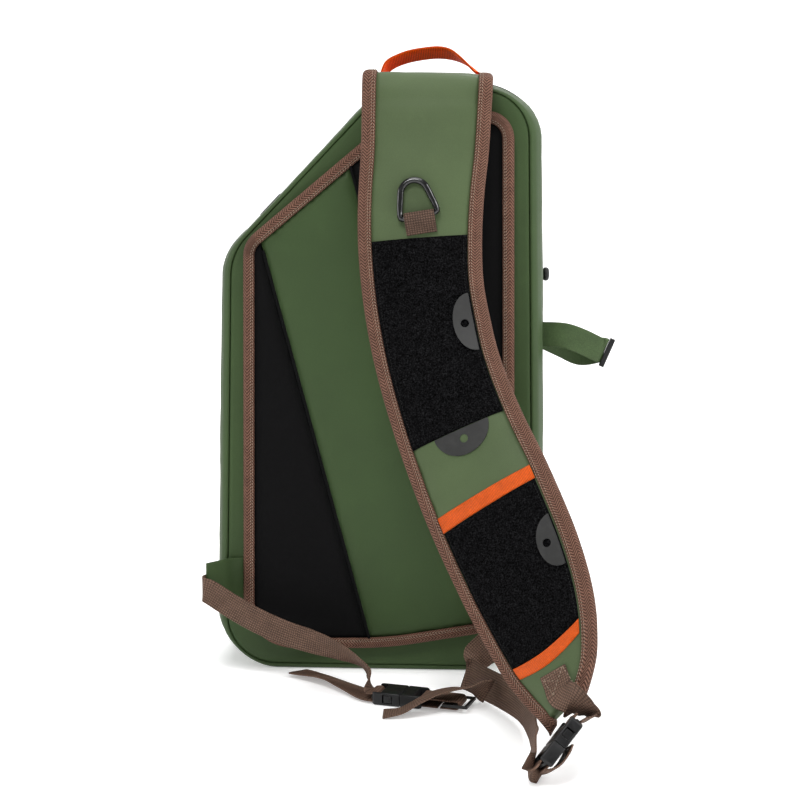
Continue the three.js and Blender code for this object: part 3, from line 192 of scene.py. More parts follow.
def shell_of(rows, cols, place, closed=False, uv=None):
    """Grid mesh of rows by cols faces whose vertices go where place(row, col) says"""
    bm = bmesh.new()
    layer = bm.loops.layers.uv.new("flat")
    bmesh.ops.create_grid(bm, x_segments=rows, y_segments=cols, size=1)
    bm.verts.ensure_lookup_table()
    spots = {}
    for v in bm.verts:
        i = round((v.co.x + 1) / 2 * rows)
        j = round((v.co.y + 1) / 2 * cols)
        spots[v.index] = (i, j)
    for f in bm.faces:
        for loop in f.loops:
            i, j = spots[loop.vert.index]
            loop[layer].uv = uv(i, j) if uv else (i / rows, j / cols)
    for v in bm.verts:
        v.co = place(*spots[v.index])
    if closed:
        bmesh.ops.remove_doubles(bm, verts=bm.verts, dist=1e-6)
    return bm


def finished(bm, name, material, body="bag", slot=None, replaces=(), smooth=True, recalc=True):
    """Turns a bmesh into a piece of the bag"""
    if recalc:
        bmesh.ops.recalc_face_normals(bm, faces=bm.faces)
    for f in bm.faces:
        f.smooth = smooth
    mesh = bpy.data.meshes.new(name)
    bm.to_mesh(mesh)
    bm.free()
    piece = bpy.data.objects.new(name, mesh)
    bpy.context.scene.collection.objects.link(piece)
    mesh.materials.append(material)
    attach(piece, body)
    if replaces:
        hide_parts(*replaces)
    return piece


def thicken(piece, thickness, offset):
    """Gives a sheet its thickness"""
    mod = piece.modifiers.new("thickness", "SOLIDIFY")
    mod.thickness = thickness
    mod.offset = offset
    mod.use_even_offset = False


def rounded(piece, width, angle):
    mod = piece.modifiers.new("rounding", "BEVEL")
    mod.width = width
    mod.segments = 2
    mod.limit_method = "ANGLE"
    mod.angle_limit = math.radians(angle)
    mod.harden_normals = False


def refined(piece):
    mod = piece.modifiers.new("refine", "SUBSURF")
    mod.levels = 1
    mod.render_levels = 1


# Shader building


def group_of(name, inputs, outputs, build):
    """Makes a node group once, with named inputs and outputs"""
    known = bpy.data.node_groups.get(name)
    if known:
        return known
    made = bpy.data.node_groups.new(name, "ShaderNodeTree")
    for label, kind, value in inputs:
        socket = made.interface.new_socket(name=label, in_out="INPUT", socket_type=kind)
        if value is not None:
            socket.default_value = value
    for label, kind in outputs:
        made.interface.new_socket(name=label, in_out="OUTPUT", socket_type=kind)
    tree = Tree(made)
    start = made.nodes.new("NodeGroupInput")
    end = made.nodes.new("NodeGroupOutput")
    for label, value in build(tree, start.outputs).items():
        made.links.new(value, end.inputs[label])
    return made


class Tree:
    """Short ways to add linked nodes to a tree"""

    def __init__(self, tree):
        self.tree = tree
        self.nodes = tree.nodes

    def put(self, socket, value):
        if isinstance(value, bpy.types.NodeSocket):
            self.tree.links.new(value, socket)
        else:
            socket.default_value = value

    def maths(self, operation, a, b=None, c=None):
        node = self.nodes.new("ShaderNodeMath")
        node.operation = operation
        for socket, value in zip(node.inputs, (a, b, c)):
            if value is not None:
                self.put(socket, value)
        return node.outputs[0]

    def grain(self, vector, scale, detail=3.0, rough=0.5):
        node = self.nodes.new("ShaderNodeTexNoise")
        self.put(node.inputs["Vector"], vector)
        self.put(node.inputs["Scale"], scale)
        self.put(node.inputs["Detail"], detail)
        self.put(node.inputs["Roughness"], rough)
        return node.outputs["Fac"]

    def ranged(self, value, low, high, to_low=0.0, to_high=1.0):
        node = self.nodes.new("ShaderNodeMapRange")
        for socket, v in zip(node.inputs, (value, low, high, to_low, to_high)):
            self.put(socket, v)
        return node.outputs[0]

    def parts(self, vector):
        node = self.nodes.new("ShaderNodeSeparateXYZ")
        self.put(node.inputs[0], vector)
        return node.outputs

    def place(self, group, **values):
        node = self.nodes.new("ShaderNodeGroup")
        node.node_tree = group
        for label, value in values.items():
            self.put(node.inputs[label.replace("_", " ")], value)
        return node.outputs

    def bumped(self, height, strength, distance):
        node = self.nodes.new("ShaderNodeBump")
        node.inputs["Strength"].default_value = strength
        node.inputs["Distance"].default_value = distance
        self.put(node.inputs["Height"], height)
        return node.outputs[0]


FLOAT, VECTOR = "NodeSocketFloat", "NodeSocketVector"


def wave_of(tree, value, pitch):
    """0 to 1 and back, once each pitch"""
    turn = tree.maths("MULTIPLY", value, 2 * math.pi / pitch)
    return tree.maths("MULTIPLY_ADD", tree.maths("SINE", turn), 0.5, 0.5)


def ribbed_webbing():
    """Woven webbing: raised cells between the ribs across and along, darker in the grooves as painted shade
    """

    def build(tree, given):
        u, v, _ = tree.parts(given["Flat"])
        ribs = tree.maths("ABSOLUTE", tree.maths("SINE", tree.maths("MULTIPLY", u, given["Ribs"])))
        ends = tree.maths("ABSOLUTE", tree.maths("SINE", tree.maths("MULTIPLY", v, given["Ends"])))
        weave = tree.maths("MULTIPLY", tree.maths("POWER", ribs, 0.6), tree.maths("POWER", ends, 0.6))
        wear = tree.grain(given["Place"], 90.0, 4.0, 0.6)
        slub = tree.grain(given["Place"], 700.0, 2.0, 0.5)
        # Darker in the grooves between the cells: painted shade; the wear and slub below are the webbing's
        # own tone
        tone = tree.maths("MULTIPLY_ADD", weave, 1.25, 0.40)
        tone = tree.maths("MULTIPLY", tone, tree.ranged(wear, 0.3, 0.7, 0.86, 1.12))
        tone = tree.maths("MULTIPLY", tone, tree.ranged(slub, 0.3, 0.7, 0.9, 1.08))
        return {"Weave": weave, "Tone": tone}

    return group_of(
        "ribbed webbing with painted groove shade",
        [("Flat", VECTOR, None), ("Place", VECTOR, None), ("Ribs", FLOAT, 5000.0), ("Ends", FLOAT, 4000.0)],
        [("Weave", FLOAT), ("Tone", FLOAT)],
        build,
    )


def herringbone():
    """Twill whose slant turns at each column, darker in its grooves and along each turn as painted shade"""

    def build(tree, given):
        u, v, _ = tree.parts(given["Flat"])
        column = tree.maths("DIVIDE", v, given["Column"])
        slant = tree.maths("PINGPONG", column, 1.0)
        way = tree.maths("MULTIPLY_ADD", slant, tree.maths("MULTIPLY", given["Column"], 1.0), u)
        turn = tree.maths("MULTIPLY", way, tree.maths("DIVIDE", 2 * math.pi, given["Pitch"]))
        twill = tree.maths("MULTIPLY_ADD", tree.maths("SINE", turn), 0.5, 0.5)
        # Darker along the turn between columns: painted shade
        spine = tree.maths("ABSOLUTE", tree.maths("SUBTRACT", tree.maths("FRACT", column), 0.5))
        spine = tree.ranged(spine, 0.40, 0.5, 1.0, 0.6)
        weave = tree.maths("MULTIPLY", twill, spine)
        wear = tree.grain(given["Place"], 110.0, 4.0, 0.6)
        # Darker in the twill's grooves: painted shade; the wear is the tape's own tone
        tone = tree.maths("MULTIPLY_ADD", weave, 1.35, 0.35)
        tone = tree.maths("MULTIPLY", tone, tree.ranged(wear, 0.3, 0.7, 0.86, 1.12))
        return {"Weave": weave, "Tone": tone}

    return group_of(
        "herringbone tape with painted groove shade",
        [
            ("Flat", VECTOR, None),
            ("Place", VECTOR, None),
            ("Column", FLOAT, 0.0018),
            ("Pitch", FLOAT, 0.0012),
        ],
        [("Weave", FLOAT), ("Tone", FLOAT)],
        build,
    )


def coated_cloth():
    """Film over a fine cloth: a faint cross grain, broad clouding and scuffs"""

    def build(tree, given):
        x, y, z = tree.parts(given["Place"])
        cross = tree.maths("ADD", x, y)
        threads = tree.maths("MULTIPLY", wave_of(tree, cross, 0.0009), wave_of(tree, z, 0.0009))
        pebble = tree.grain(given["Place"], 1500.0, 2.0, 0.5)
        cloud = tree.grain(given["Place"], 14.0, 4.0, 0.55)
        scuff = tree.grain(given["Place"], 60.0, 6.0, 0.7)
        scuff = tree.ranged(scuff, 0.56, 0.72)
        height = tree.maths("MULTIPLY_ADD", threads, 0.5, tree.maths("MULTIPLY", pebble, 0.5))
        tone = tree.ranged(cloud, 0.3, 0.7, 0.9, 1.1)
        tone = tree.maths("MULTIPLY_ADD", scuff, 0.08, tone)
        tone = tree.maths("MULTIPLY", tone, tree.ranged(pebble, 0.3, 0.7, 0.94, 1.05))
        rough = tree.ranged(cloud, 0.3, 0.7, 0.50, 0.62)
        return {"Height": height, "Tone": tone, "Roughness": rough}

    return group_of(
        "coated cloth",
        [("Place", VECTOR, None)],
        [("Height", FLOAT), ("Tone", FLOAT), ("Roughness", FLOAT)],
        build,
    )


def moulded_grain():
    """Moulded skin: fine spark texture, handling marks"""

    def build(tree, given):
        fine = tree.grain(given["Place"], 2600.0, 2.0, 0.5)
        marks = tree.grain(given["Place"], 160.0, 5.0, 0.65)
        marks = tree.ranged(marks, 0.45, 0.75)
        tone = tree.maths("MULTIPLY_ADD", marks, 0.18, 0.92)
        rough = tree.ranged(marks, 0.0, 1.0, 0.38, 0.56)
        return {"Height": fine, "Tone": tone, "Roughness": rough}

    return group_of(
        "moulded grain",
        [("Place", VECTOR, None)],
        [("Height", FLOAT), ("Tone", FLOAT), ("Roughness", FLOAT)],
        build,
    )


def material(name, build, **settings):
    """A material whose build returns its colour, roughness and normal"""
    known = bpy.data.materials.get(name)
    if known:
        return known
    made = bpy.data.materials.new(name)
    made.use_nodes = True
    tree = Tree(made.node_tree)
    shader = made.node_tree.nodes["Principled BSDF"]
    place = tree.nodes.new("ShaderNodeTexCoord")
    for label, value in build(tree, place.outputs["Object"], place.outputs["UV"]).items():
        tree.put(shader.inputs[label], value)
    for label, value in settings.items():
        shader.inputs[label.replace("_", " ")].default_value = value
    return made


def toned(tree, colour, tone):
    """Colour times a tone, darker or lighter"""
    node = tree.nodes.new("ShaderNodeVectorMath")
    node.operation = "SCALE"
    node.inputs[0].default_value = colour
    tree.put(node.inputs["Scale"], tone)
    return node.outputs[0]


def coated(name, colour, bump=0.35):
    def build(tree, place, _flat):
        cloth = tree.place(coated_cloth(), Place=place)
        return {
            "Base Color": toned(tree, colour, cloth["Tone"]),
            "Roughness": cloth["Roughness"],
            "Normal": tree.bumped(cloth["Height"], bump, 0.00025),
        }

    return material(name, build, Specular_IOR_Level=0.2)


def webbing(name, colour, ribs=0.0019, ends=0.0018, rough=0.72, bump=1.0, shine=0.25):
    def build(tree, place, flat):
        cloth = tree.place(
            ribbed_webbing(), Flat=flat, Place=place, Ribs=math.pi / ribs, Ends=math.pi / ends
        )
        return {
            "Base Color": toned(tree, colour, cloth["Tone"]),
            "Roughness": tree.ranged(cloth["Weave"], 0.0, 1.0, min(1, rough + 0.15), rough),
            "Normal": tree.bumped(cloth["Weave"], bump, 0.0006),
        }

    return material(name, build, Specular_IOR_Level=shine)


def taped(name, colour):
    def build(tree, place, flat):
        cloth = tree.place(herringbone(), Flat=flat, Place=place, Column=0.0036, Pitch=0.0023)
        return {
            "Base Color": toned(tree, colour, cloth["Tone"]),
            "Roughness": tree.ranged(cloth["Weave"], 0.0, 1.0, 0.9, 0.68),
            "Normal": tree.bumped(cloth["Weave"], 1.0, 0.0006),
        }

    return material(name, build, Specular_IOR_Level=0.15)


def piled(name, colour):
    def build(tree, place, _flat):
        loops = tree.grain(place, 950.0, 3.0, 0.75)
        clumps = tree.grain(place, 260.0, 4.0, 0.6)
        height = tree.maths("MULTIPLY_ADD", clumps, 0.6, loops)
        bright = tree.ranged(loops, 0.44, 0.66, 0.0, 5.0)
        tone = tree.maths("MULTIPLY", bright, tree.ranged(clumps, 0.3, 0.7, 0.6, 1.4))
        return {
            "Base Color": toned(tree, colour, tone),
            "Roughness": tree.ranged(clumps, 0.3, 0.7, 0.9, 1.0),
            "Normal": tree.bumped(height, 1.0, 0.0009),
        }

    return material(name, build, Specular_IOR_Level=0.03)


def foamed(name, colour):
    def build(tree, place, _flat):
        skin = tree.grain(place, 900.0, 3.0, 0.6)
        cloud = tree.grain(place, 18.0, 3.0, 0.5)
        bright = tree.ranged(skin, 0.3, 0.7, 0.9, 1.15)
        tone = tree.maths("MULTIPLY", bright, tree.ranged(cloud, 0.3, 0.7, 0.85, 1.2))
        return {
            "Base Color": toned(tree, colour, tone),
            "Roughness": tree.ranged(cloud, 0.3, 0.7, 0.78, 0.88),
            "Normal": tree.bumped(skin, 0.35, 0.0003),
        }

    return material(name, build, Specular_IOR_Level=0.08)


def moulded(name, colour, bump=0.25, shine=0.0, **more):
    def build(tree, place, _flat):
        skin = tree.place(moulded_grain(), Place=place)
        return {
            "Base Color": toned(tree, colour, skin["Tone"]),
            "Roughness": tree.maths("SUBTRACT", skin["Roughness"], shine),
            "Normal": tree.bumped(skin["Height"], bump, 0.0001),
        }

    return material(name, build, **more)


def threaded(name, colour):
    def build(tree, place, _flat):
        twist = tree.grain(place, 2200.0, 2.0, 0.6)
        return {
            "Base Color": toned(tree, colour, tree.ranged(twist, 0.3, 0.7, 0.7, 1.2)),
            "Roughness": tree.ranged(twist, 0.3, 0.7, 0.55, 0.75),
            "Normal": tree.bumped(twist, 0.5, 0.0002),
        }

    return material(name, build, Specular_IOR_Level=0.2)


# Outlines of the panel and pad, in the X-Z plane


def outline(corners, arc=12):
    """Places round a rounded polygon, each with its outward direction"""
    places = []
    count = len(corners)
    for i, (x, z, r) in enumerate(corners):
        px, pz, _ = corners[(i - 1) % count]
        qx, qz, _ = corners[(i + 1) % count]
        into = Vector((x - px, z - pz)).normalized()
        out = Vector((qx - x, qz - z)).normalized()
        turn = math.acos(clamp(into.dot(out), -1, 1))
        start = Vector((x, z)) - into * r * math.tan(turn / 2)
        centre = start + Vector((-into.y, into.x)) * r
        first = math.atan2(start.y - centre.y, start.x - centre.x)
        for k in range(arc + 1):
            angle = first + turn * k / arc
            n = Vector((math.cos(angle), math.sin(angle)))
            places.append((centre + n * r, n))
    return places


def evenly(places, step):
    """The same closed outline with points at most a step apart, as (place, normal, length)"""
    found, length = [], 0.0
    for i, (p, n) in enumerate(places):
        q, m = places[(i + 1) % len(places)]
        gap = (q - p).length
        parts = max(1, math.ceil(gap / step))
        for k in range(parts):
            t = k / parts
            found.append((p.lerp(q, t), n.lerp(m, t).normalized(), length + gap * t))
        length += gap
    return found, length


BASE_LIFT = 0.004
TOP_TAPER = 0.008
SHOULDER = 0.334
SLOPE_RUN = 0.121
SEAM = 0.00015
GAP = 0.0003


def panel_corners():
    s = sizes()
    half, top = s.width / 2, BASE_LIFT + s.height
    return [
        (half, BASE_LIFT, 0.055),
        (half - TOP_TAPER, top, 0.037),
        (-half + TOP_TAPER + SLOPE_RUN, top, 0.030),
        (-half + TOP_TAPER, BASE_LIFT + SHOULDER, 0.045),
        (-half, BASE_LIFT, 0.040),
    ]


# Pad corners: how far in from the panel's, across and up, and their radii
PAD_INSETS = [
    (-0.016, 0.035, 0.040),
    (-0.012, -0.016, 0.021),
    (0.012, -0.016, 0.025),
    (0.0115, 0.009, 0.022),
    (0.0155, 0.015, 0.040),
]


def pad_corners():
    found = [(x + dx, z + dz, r) for (x, z, _), (dx, dz, r) in zip(panel_corners(), PAD_INSETS)]
    left, right = found[4], found[0]
    found.append((lerp(left[0], right[0], 0.53), left[1] + 0.002, 0.3))
    return found


# Side band: share of the depth, share of the swell, share of the front inset
BAND = [
    (-0.5, 0, 0),
    (-0.46, 0.45, 0),
    (-0.36, 0.85, 0),
    (-0.15, 1, 0),
    (0.12, 1, 0),
    (0.33, 0.7, 0.15),
    (0.45, 0.3, 0.55),
    (0.5, 0, 1),
]


def band_at(depth):
    """Swell and inset of the side band at a share of its depth"""
    for (a, sa, ia), (b, sb, ib) in zip(BAND, BAND[1:]):
        if depth <= b:
            t = smoothstep(depth, a, b) * 0.35 + (depth - a) / (b - a) * 0.65
            return lerp(sa, sb, t), lerp(ia, ib, t)
    return BAND[-1][1:]


def swell_at(n):
    s = sizes()
    upright = 0.001 if n.y > 0 else 0.005
    return s.side_swell * n.x ** 4 + upright * n.y ** 4


def band_spot(p, n, y, deep=0.0, crease=0.0):
    s = sizes()
    swell, inset = band_at(clamp(y / s.depth, -0.5, 0.5))
    out = SEAM + s.wall - deep + swell * swell_at(n) - inset * s.front_inset + crease
    z = max(deep, p.y + n.y * out)
    return Vector((p.x + n.x * out, y, z))


def creased(x, y, z, size=0.0006):
    """Small undulation of coated cloth"""
    spot = Vector((x, y, z))
    broad = noise.noise(spot * 22.0)
    fine = noise.noise(spot * 70.0 + Vector((3.1, 1.7, 0.4)))
    return size * (0.8 * broad + 0.35 * fine)


class BAG_OT_shell(bpy.types.Operator):
    """Side band, back wall, front panel and their welds"""

    bl_idname = "bag.shell"
    bl_label = "Bag shell"

    def execute(self, _context):
        s = sizes()
        places, total = evenly(outline(panel_corners()), 0.009)
        count = len(places)
        # The shell takes the darker copy of the coated green: painted shade
        green = coated("shaded coated green", colours().green_shaded)
        half_slot = s.zip_slot / 2
        back, front = -s.depth / 2, s.depth / 2
        columns = sorted(
            spaced(back, s.zip_offset - half_slot, 20)
            + spaced(s.zip_offset + half_slot, front, 7)
        )
        columns = [back, back + 0.0009, back + 0.0022] + columns[1:-1] + [front - 0.0015, front]
        rolled = {0: -0.0016, 1: -0.0005, len(columns) - 2: -0.0004, len(columns) - 1: -0.0014}

        def spot(i, j):
            p, n, _ = places[i % count]
            y = columns[j]
            edge = smoothstep(abs(y) - s.depth / 2 + 0.012, 0.0, 0.012)
            crease = creased(p.x, y, p.y, 0.0011) * (1 - edge) - 0.0003
            return band_spot(p, n, y, 0.0, crease + rolled.get(j, 0.0))

        bm = shell_of(
            count, len(columns) - 1, spot, True,
            lambda i, j: (lerp(0, total, i / count), columns[j]),
        )
        gone = [
            f for f in bm.faces
            if abs(f.calc_center_median().y - s.zip_offset) < half_slot * 0.98
            and self.in_zip(f.calc_center_median())
        ]
        bmesh.ops.delete(bm, geom=gone, context="FACES")
        band = finished(bm, "side_band", green, slot="green_tpu", replaces=("bag_gusset",))
        thicken(band, s.wall * 0.9, -1)

        self.panel("back_panel", places, green, -s.depth / 2, 0.0, 0.0, "bag_back_wall")
        self.panel("front_panel", places, green, s.depth / 2, s.front_inset, s.front_crown, "bag_front_wall")
        self.piping(places, green, total)
        return {"FINISHED"}

    @staticmethod
    def in_zip(centre):
        lo, _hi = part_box("zip_tape")
        if centre.x > 0.08:
            return centre.z > lo.z - 0.0005 and centre.z > 0.3
        return centre.x > lo.x and centre.z > 0.34

    @staticmethod
    def panel(name, places, look, y, inset, crown, node):
        s = sizes()
        outward = 1 if y > 0 else -1
        middle = sum((p for p, _n, _l in places), Vector((0, 0))) / len(places)
        rings = [1.0, 0.992, 0.97, 0.93, 0.86, 0.76, 0.64, 0.5, 0.36, 0.22, 0.1, 0.0]

        def spot(i, j):
            p, n, _ = places[i % len(places)]
            edge = p - n * (inset + 0.0008)
            share = rings[j]
            flat = middle.lerp(edge, share)
            lift = crown * (1 - share * share)
            rim = -0.0006 if j == 0 else 0.0
            wave = creased(flat.x, y, flat.y, 0.0014 if crown else 0.0) * smoothstep(1 - share, 0.0, 0.15)
            return Vector((flat.x, y + outward * (lift + rim) + wave, flat.y))

        bm = shell_of(len(places), len(rings) - 1, spot, True)
        piece = finished(bm, name, look, slot="green_tpu", replaces=(node,))
        thicken(piece, s.wall * 0.9, -1)

    @staticmethod
    def piping(places, look, total):
        """Raised weld line round the front edge"""
        s = sizes()
        section = 8

        def spot(i, j):
            p, n, _ = places[i % len(places)]
            angle = 2 * math.pi * j / section
            r = 0.0013
            out = -s.front_inset + 0.0007 + r * math.cos(angle)
            flat = p + n * out
            return Vector((flat.x, s.depth / 2 + 0.0002 + r * math.sin(angle), flat.y))

        bm = shell_of(
            len(places), section, spot, True,
            lambda i, j: (total * i / len(places), j / section),
        )
        finished(bm, "front_weld", look, slot="green_tpu")


def clipped_grid(points, cell):
    """Grid in the X-Z plane cut to a convex outline"""
    bm = bmesh.new()
    low = Vector((min(p.x for p in points), min(p.y for p in points)))
    high = Vector((max(p.x for p in points), max(p.y for p in points)))
    nx, nz = [max(2, math.ceil((b - a) / cell)) for a, b in zip(low, high)]
    bmesh.ops.create_grid(bm, x_segments=nx, y_segments=nz, size=1)
    for v in bm.verts:
        v.co = Vector((lerp(low.x, high.x, (v.co.x + 1) / 2), 0, lerp(low.y, high.y, (v.co.y + 1) / 2)))
    centre = sum(points, Vector((0, 0))) / len(points)
    for i, p in enumerate(points):
        q = points[(i + 1) % len(points)]
        way = q - p
        if way.length < 1e-7:
            continue
        normal = Vector((way.y, -way.x)).normalized()
        if normal.dot(centre - p) > 0:
            normal.negate()
        bmesh.ops.bisect_plane(
            bm, geom=bm.verts[:] + bm.edges[:] + bm.faces[:], dist=1e-7,
            plane_co=(p.x, 0, p.y), plane_no=(normal.x, 0, normal.y), clear_outer=True,
        )
    bmesh.ops.remove_doubles(bm, verts=bm.verts, dist=2e-5)
    return bm


def inside_of(points, line, keep_left, gap):
    """Part of a convex outline on one side of a line"""
    (top, foot) = line
    way = (foot - top).normalized()
    side = Vector((way.y, -way.x)) * (1 if keep_left else -1)
    kept = []
    for i, p in enumerate(points):
        q = points[(i + 1) % len(points)]
        a, b = side.dot(p - top) - gap, side.dot(q - top) - gap
        if a > 0:
            kept.append(p)
        if (a > 0) != (b > 0):
            kept.append(p.lerp(q, a / (a - b)))
    return kept


def edge_distance(points, x, z):
    here = Vector((x, z))
    best = 1.0
    for i, p in enumerate(points):
        q = points[(i + 1) % len(points)]
        way = q - p
        length = way.length
        if length < 1e-7:
            continue
        t = clamp((here - p).dot(way) / (length * length), 0, 1)
        best = min(best, (p + way * t - here).length)
    return best


class BAG_OT_back_pad(bpy.types.Operator):
    """Three padded panels and the herringbone tape round them"""

    bl_idname = "bag.back_pad"
    bl_label = "Back pad"

    def execute(self, _context):
        s = sizes()
        c = colours()
        edge = outline(pad_corners())
        back_y = -s.depth / 2 - GAP
        face_y = back_y - s.pad_thick
        inside = [p - n * (s.pad_tape - 0.0012) for p, n in edge]
        left, foot = pad_corners()[4][:2]
        span = pad_corners()[0][0] - left
        top = pad_corners()[1][1]

        def at(across, up):
            return Vector((left + across * span, lerp(foot, top, up)))

        seams = [(at(0.091, 0.74), at(0.461, 0.029)), (at(0.402, 0.901), at(0.878, 0.036))]
        gap = 0.0004
        middle = inside_of(inside_of(inside, seams[0], False, gap), seams[1], True, gap)
        # The pad's middle takes the darker copy of the coated green: painted shade
        green = coated("shaded coated green", c.green_shaded)
        black = foamed("smooth foam", c.foam)
        parts = [
            ("pad_left", inside_of(inside, seams[0], True, gap), black, "black_foam", "back_pad_left"),
            ("pad_centre", middle, green, "green_tpu", "back_pad_centre"),
            ("pad_right", inside_of(inside, seams[1], False, gap), black, "black_foam", "back_pad_right"),
        ]
        for name, points, look, slot, node in parts:
            bm = clipped_grid(points, 0.005)
            flat = bm.loops.layers.uv.new("flat")
            for v in bm.verts:
                d = edge_distance(points, v.co.x, v.co.z)
                sink = 0.0035 * math.exp(-d / 0.0035)
                wave = creased(v.co.x, 0.3, v.co.z, 0.0007) * smoothstep(d, 0.002, 0.02)
                crown = 0.0013 * smoothstep(d, 0.0, 0.05)
                v.co.y = face_y - 0.0002 + sink - crown + wave
            rim = [e for e in bm.edges if e.is_boundary]
            made = bmesh.ops.extrude_edge_only(bm, edges=rim)
            for v in made["geom"]:
                if isinstance(v, bmesh.types.BMVert):
                    v.co.y = back_y - 0.0005
            for f in bm.faces:
                for loop in f.loops:
                    loop[flat].uv = (loop.vert.co.x, loop.vert.co.z)
            back = [e for e in bm.edges if e.is_boundary]
            bmesh.ops.edgeloop_fill(bm, edges=back)
            piece = finished(bm, name, look, slot=slot, replaces=(node,))
        for k, line in enumerate(seams):
            self.seam_fold(k, line, face_y)
        self.tape(edge, face_y)
        return {"FINISHED"}

    @staticmethod
    def seam_fold(k, line, face_y):
        """Folded edge that stands along a seam of the pad"""
        top, foot = line
        way = (foot - top).normalized()
        reach = [(p - top).dot(way) for p in (foot, top)]
        start, stop = min(reach) - 0.004, max(reach) + 0.004
        side = Vector((way.y, -way.x))
        steps, section = 60, 6

        def spot(i, j):
            p = top + way * lerp(start, stop, i / steps)
            angle = math.pi * j / section
            r = 0.0006
            p = p - side * (r - r * math.cos(angle))
            return Vector((p.x, face_y + 0.0012 - r * math.sin(angle) - 0.0004, p.y))

        bm = shell_of(
            steps, section, spot, False,
            lambda i, j: (0.3 * i / steps, 0.003 * j / section),
        )
        look = foamed("smooth foam", colours().foam)
        piece = finished(bm, f"pad_seam_{k}", look, slot="black_foam")
        thicken(piece, 0.0006, 1)

    @staticmethod
    def tape(edge, face_y):
        s = sizes()
        places, total = evenly(edge, 0.006)
        count = len(places)
        profile = [
            (-s.pad_tape - 0.0002, 0.0022),
            (-s.pad_tape + 0.0002, 0.0006),
            (-s.pad_tape * 0.86, 0.0),
            (-s.pad_tape * 0.62, -0.0003),
            (-s.pad_tape * 0.4, -0.0002),
            (-s.pad_tape * 0.2, 0.0003),
            (-s.pad_tape * 0.06, 0.0013),
            (0.0003, 0.0030),
            (0.0006, 0.0055),
            (0.0004, 0.0088),
            (-0.0005, 0.0098),
        ]
        across = [0.0]
        for (a, b), (c, d) in zip(profile, profile[1:]):
            across.append(across[-1] + math.hypot(c - a, d - b))

        def spot(i, j):
            p, n, length = places[i % count]
            out, sink = profile[j]
            ripple = 0.00018 * math.sin(length * 2 * math.pi / 0.0052) * (1 if 2 <= j <= 6 else 0.3)
            flat = p + n * out
            return Vector((flat.x, face_y - 0.001 + sink + ripple * 0.5, flat.y))

        bm = shell_of(
            count, len(profile) - 1, spot, True,
            lambda i, j: (total * i / count, across[j]),
        )
        look = taped("herringbone tape with painted groove shade", colours().tape)
        piece = finished(bm, "pad_binding", look, slot="brown_binding", replaces=("back_pad_binding",))
        refined(piece)
        thread = threaded("light thread", colours().thread)
        rows = []
        for out in (-s.pad_tape * 0.86, -s.pad_tape * 0.70):
            line = [p + n * out for p, n, _ in places]
            rows.append([Vector((p.x, face_y - 0.00125, p.y)) for p in line])
        sew("pad_stitches", rows, Vector((0, -1, 0)), thread, True)


STITCH = 0.0016
STITCH_GAP = 0.0007
THREAD_WIDTH = 0.0006


def sew(name, rows, face, look, closed=False, stitch=STITCH, slot="brown_binding"):
    """Rows of raised thread stitches along lines of points"""
    bm = bmesh.new()
    bm.loops.layers.uv.new("flat")
    for row in rows:
        points = row + [row[0]] if closed else row
        length, spots = 0.0, []
        wanted = stitch / 2
        for k, (p, q) in enumerate(zip(points, points[1:])):
            gap_here = (q - p).length
            while wanted <= length + gap_here and gap_here > 0:
                t = (wanted - length) / gap_here
                normal = face if isinstance(face, Vector) else face(k, t)
                spots.append((p.lerp(q, t), (q - p).normalized(), normal))
                wanted += stitch + STITCH_GAP
            length += gap_here
        for p, way, normal in spots:
            side = way.cross(normal).normalized()
            up = side.cross(way).normalized()
            turn = Matrix((
                (way.x, side.x, up.x, p.x),
                (way.y, side.y, up.y, p.y),
                (way.z, side.z, up.z, p.z),
                (0, 0, 0, 1),
            ))
            size = Matrix.Diagonal((stitch / 2, THREAD_WIDTH / 2, THREAD_WIDTH / 2, 1))
            bmesh.ops.create_icosphere(bm, subdivisions=1, radius=1, matrix=turn @ size)
    return finished(bm, name, look, slot=slot)


# Shoulder strap: rows down its length as shares of drop, side sweep, reach and width,
# then lean and twist in degrees
STRAP_ROWS = [
    (0, 0, 0, 0.997, -3.4, 0),
    (0.03, -0.003, 0.032, 0.993, -2.6, 0),
    (0.119, -0.016, 0.071, 0.976, 0, 0),
    (0.2, -0.041, 0.111, 0.961, 2, 0),
    (0.273, -0.045, 0.147, 0.947, 4.8, 0),
    (0.351, -0.022, 0.192, 0.928, 7.8, 1),
    (0.425, 0.037, 0.248, 0.933, 12.7, 2),
    (0.49, 0.111, 0.313, 0.939, 18.5, 4),
    (0.584, 0.263, 0.414, 0.976, 26.3, 6),
    (0.688, 0.474, 0.54, 1.036, 34, 8),
    (0.788, 0.69, 0.682, 1.03, 38.8, 10),
    (0.854, 0.825, 0.773, 0.955, 40.5, 10),
    (0.905, 0.916, 0.854, 0.84, 42.5, 10),
    (0.945, 0.979, 0.914, 0.665, 43.5, 10),
    (0.977, 1, 0.965, 0.45, 45, 10),
    (1, 0.99, 1, 0.3, 48, 10),
]
BACK_Y = -0.055
PANEL_TOP = BASE_LIFT + 0.461
STRAP_MIDDLE = 0.039
STRAP_ROOT = 0.040
CREST_Y = BACK_Y - GAP - 0.009 - 0.001 - 0.012
BAG_TOP = PANEL_TOP + 0.003


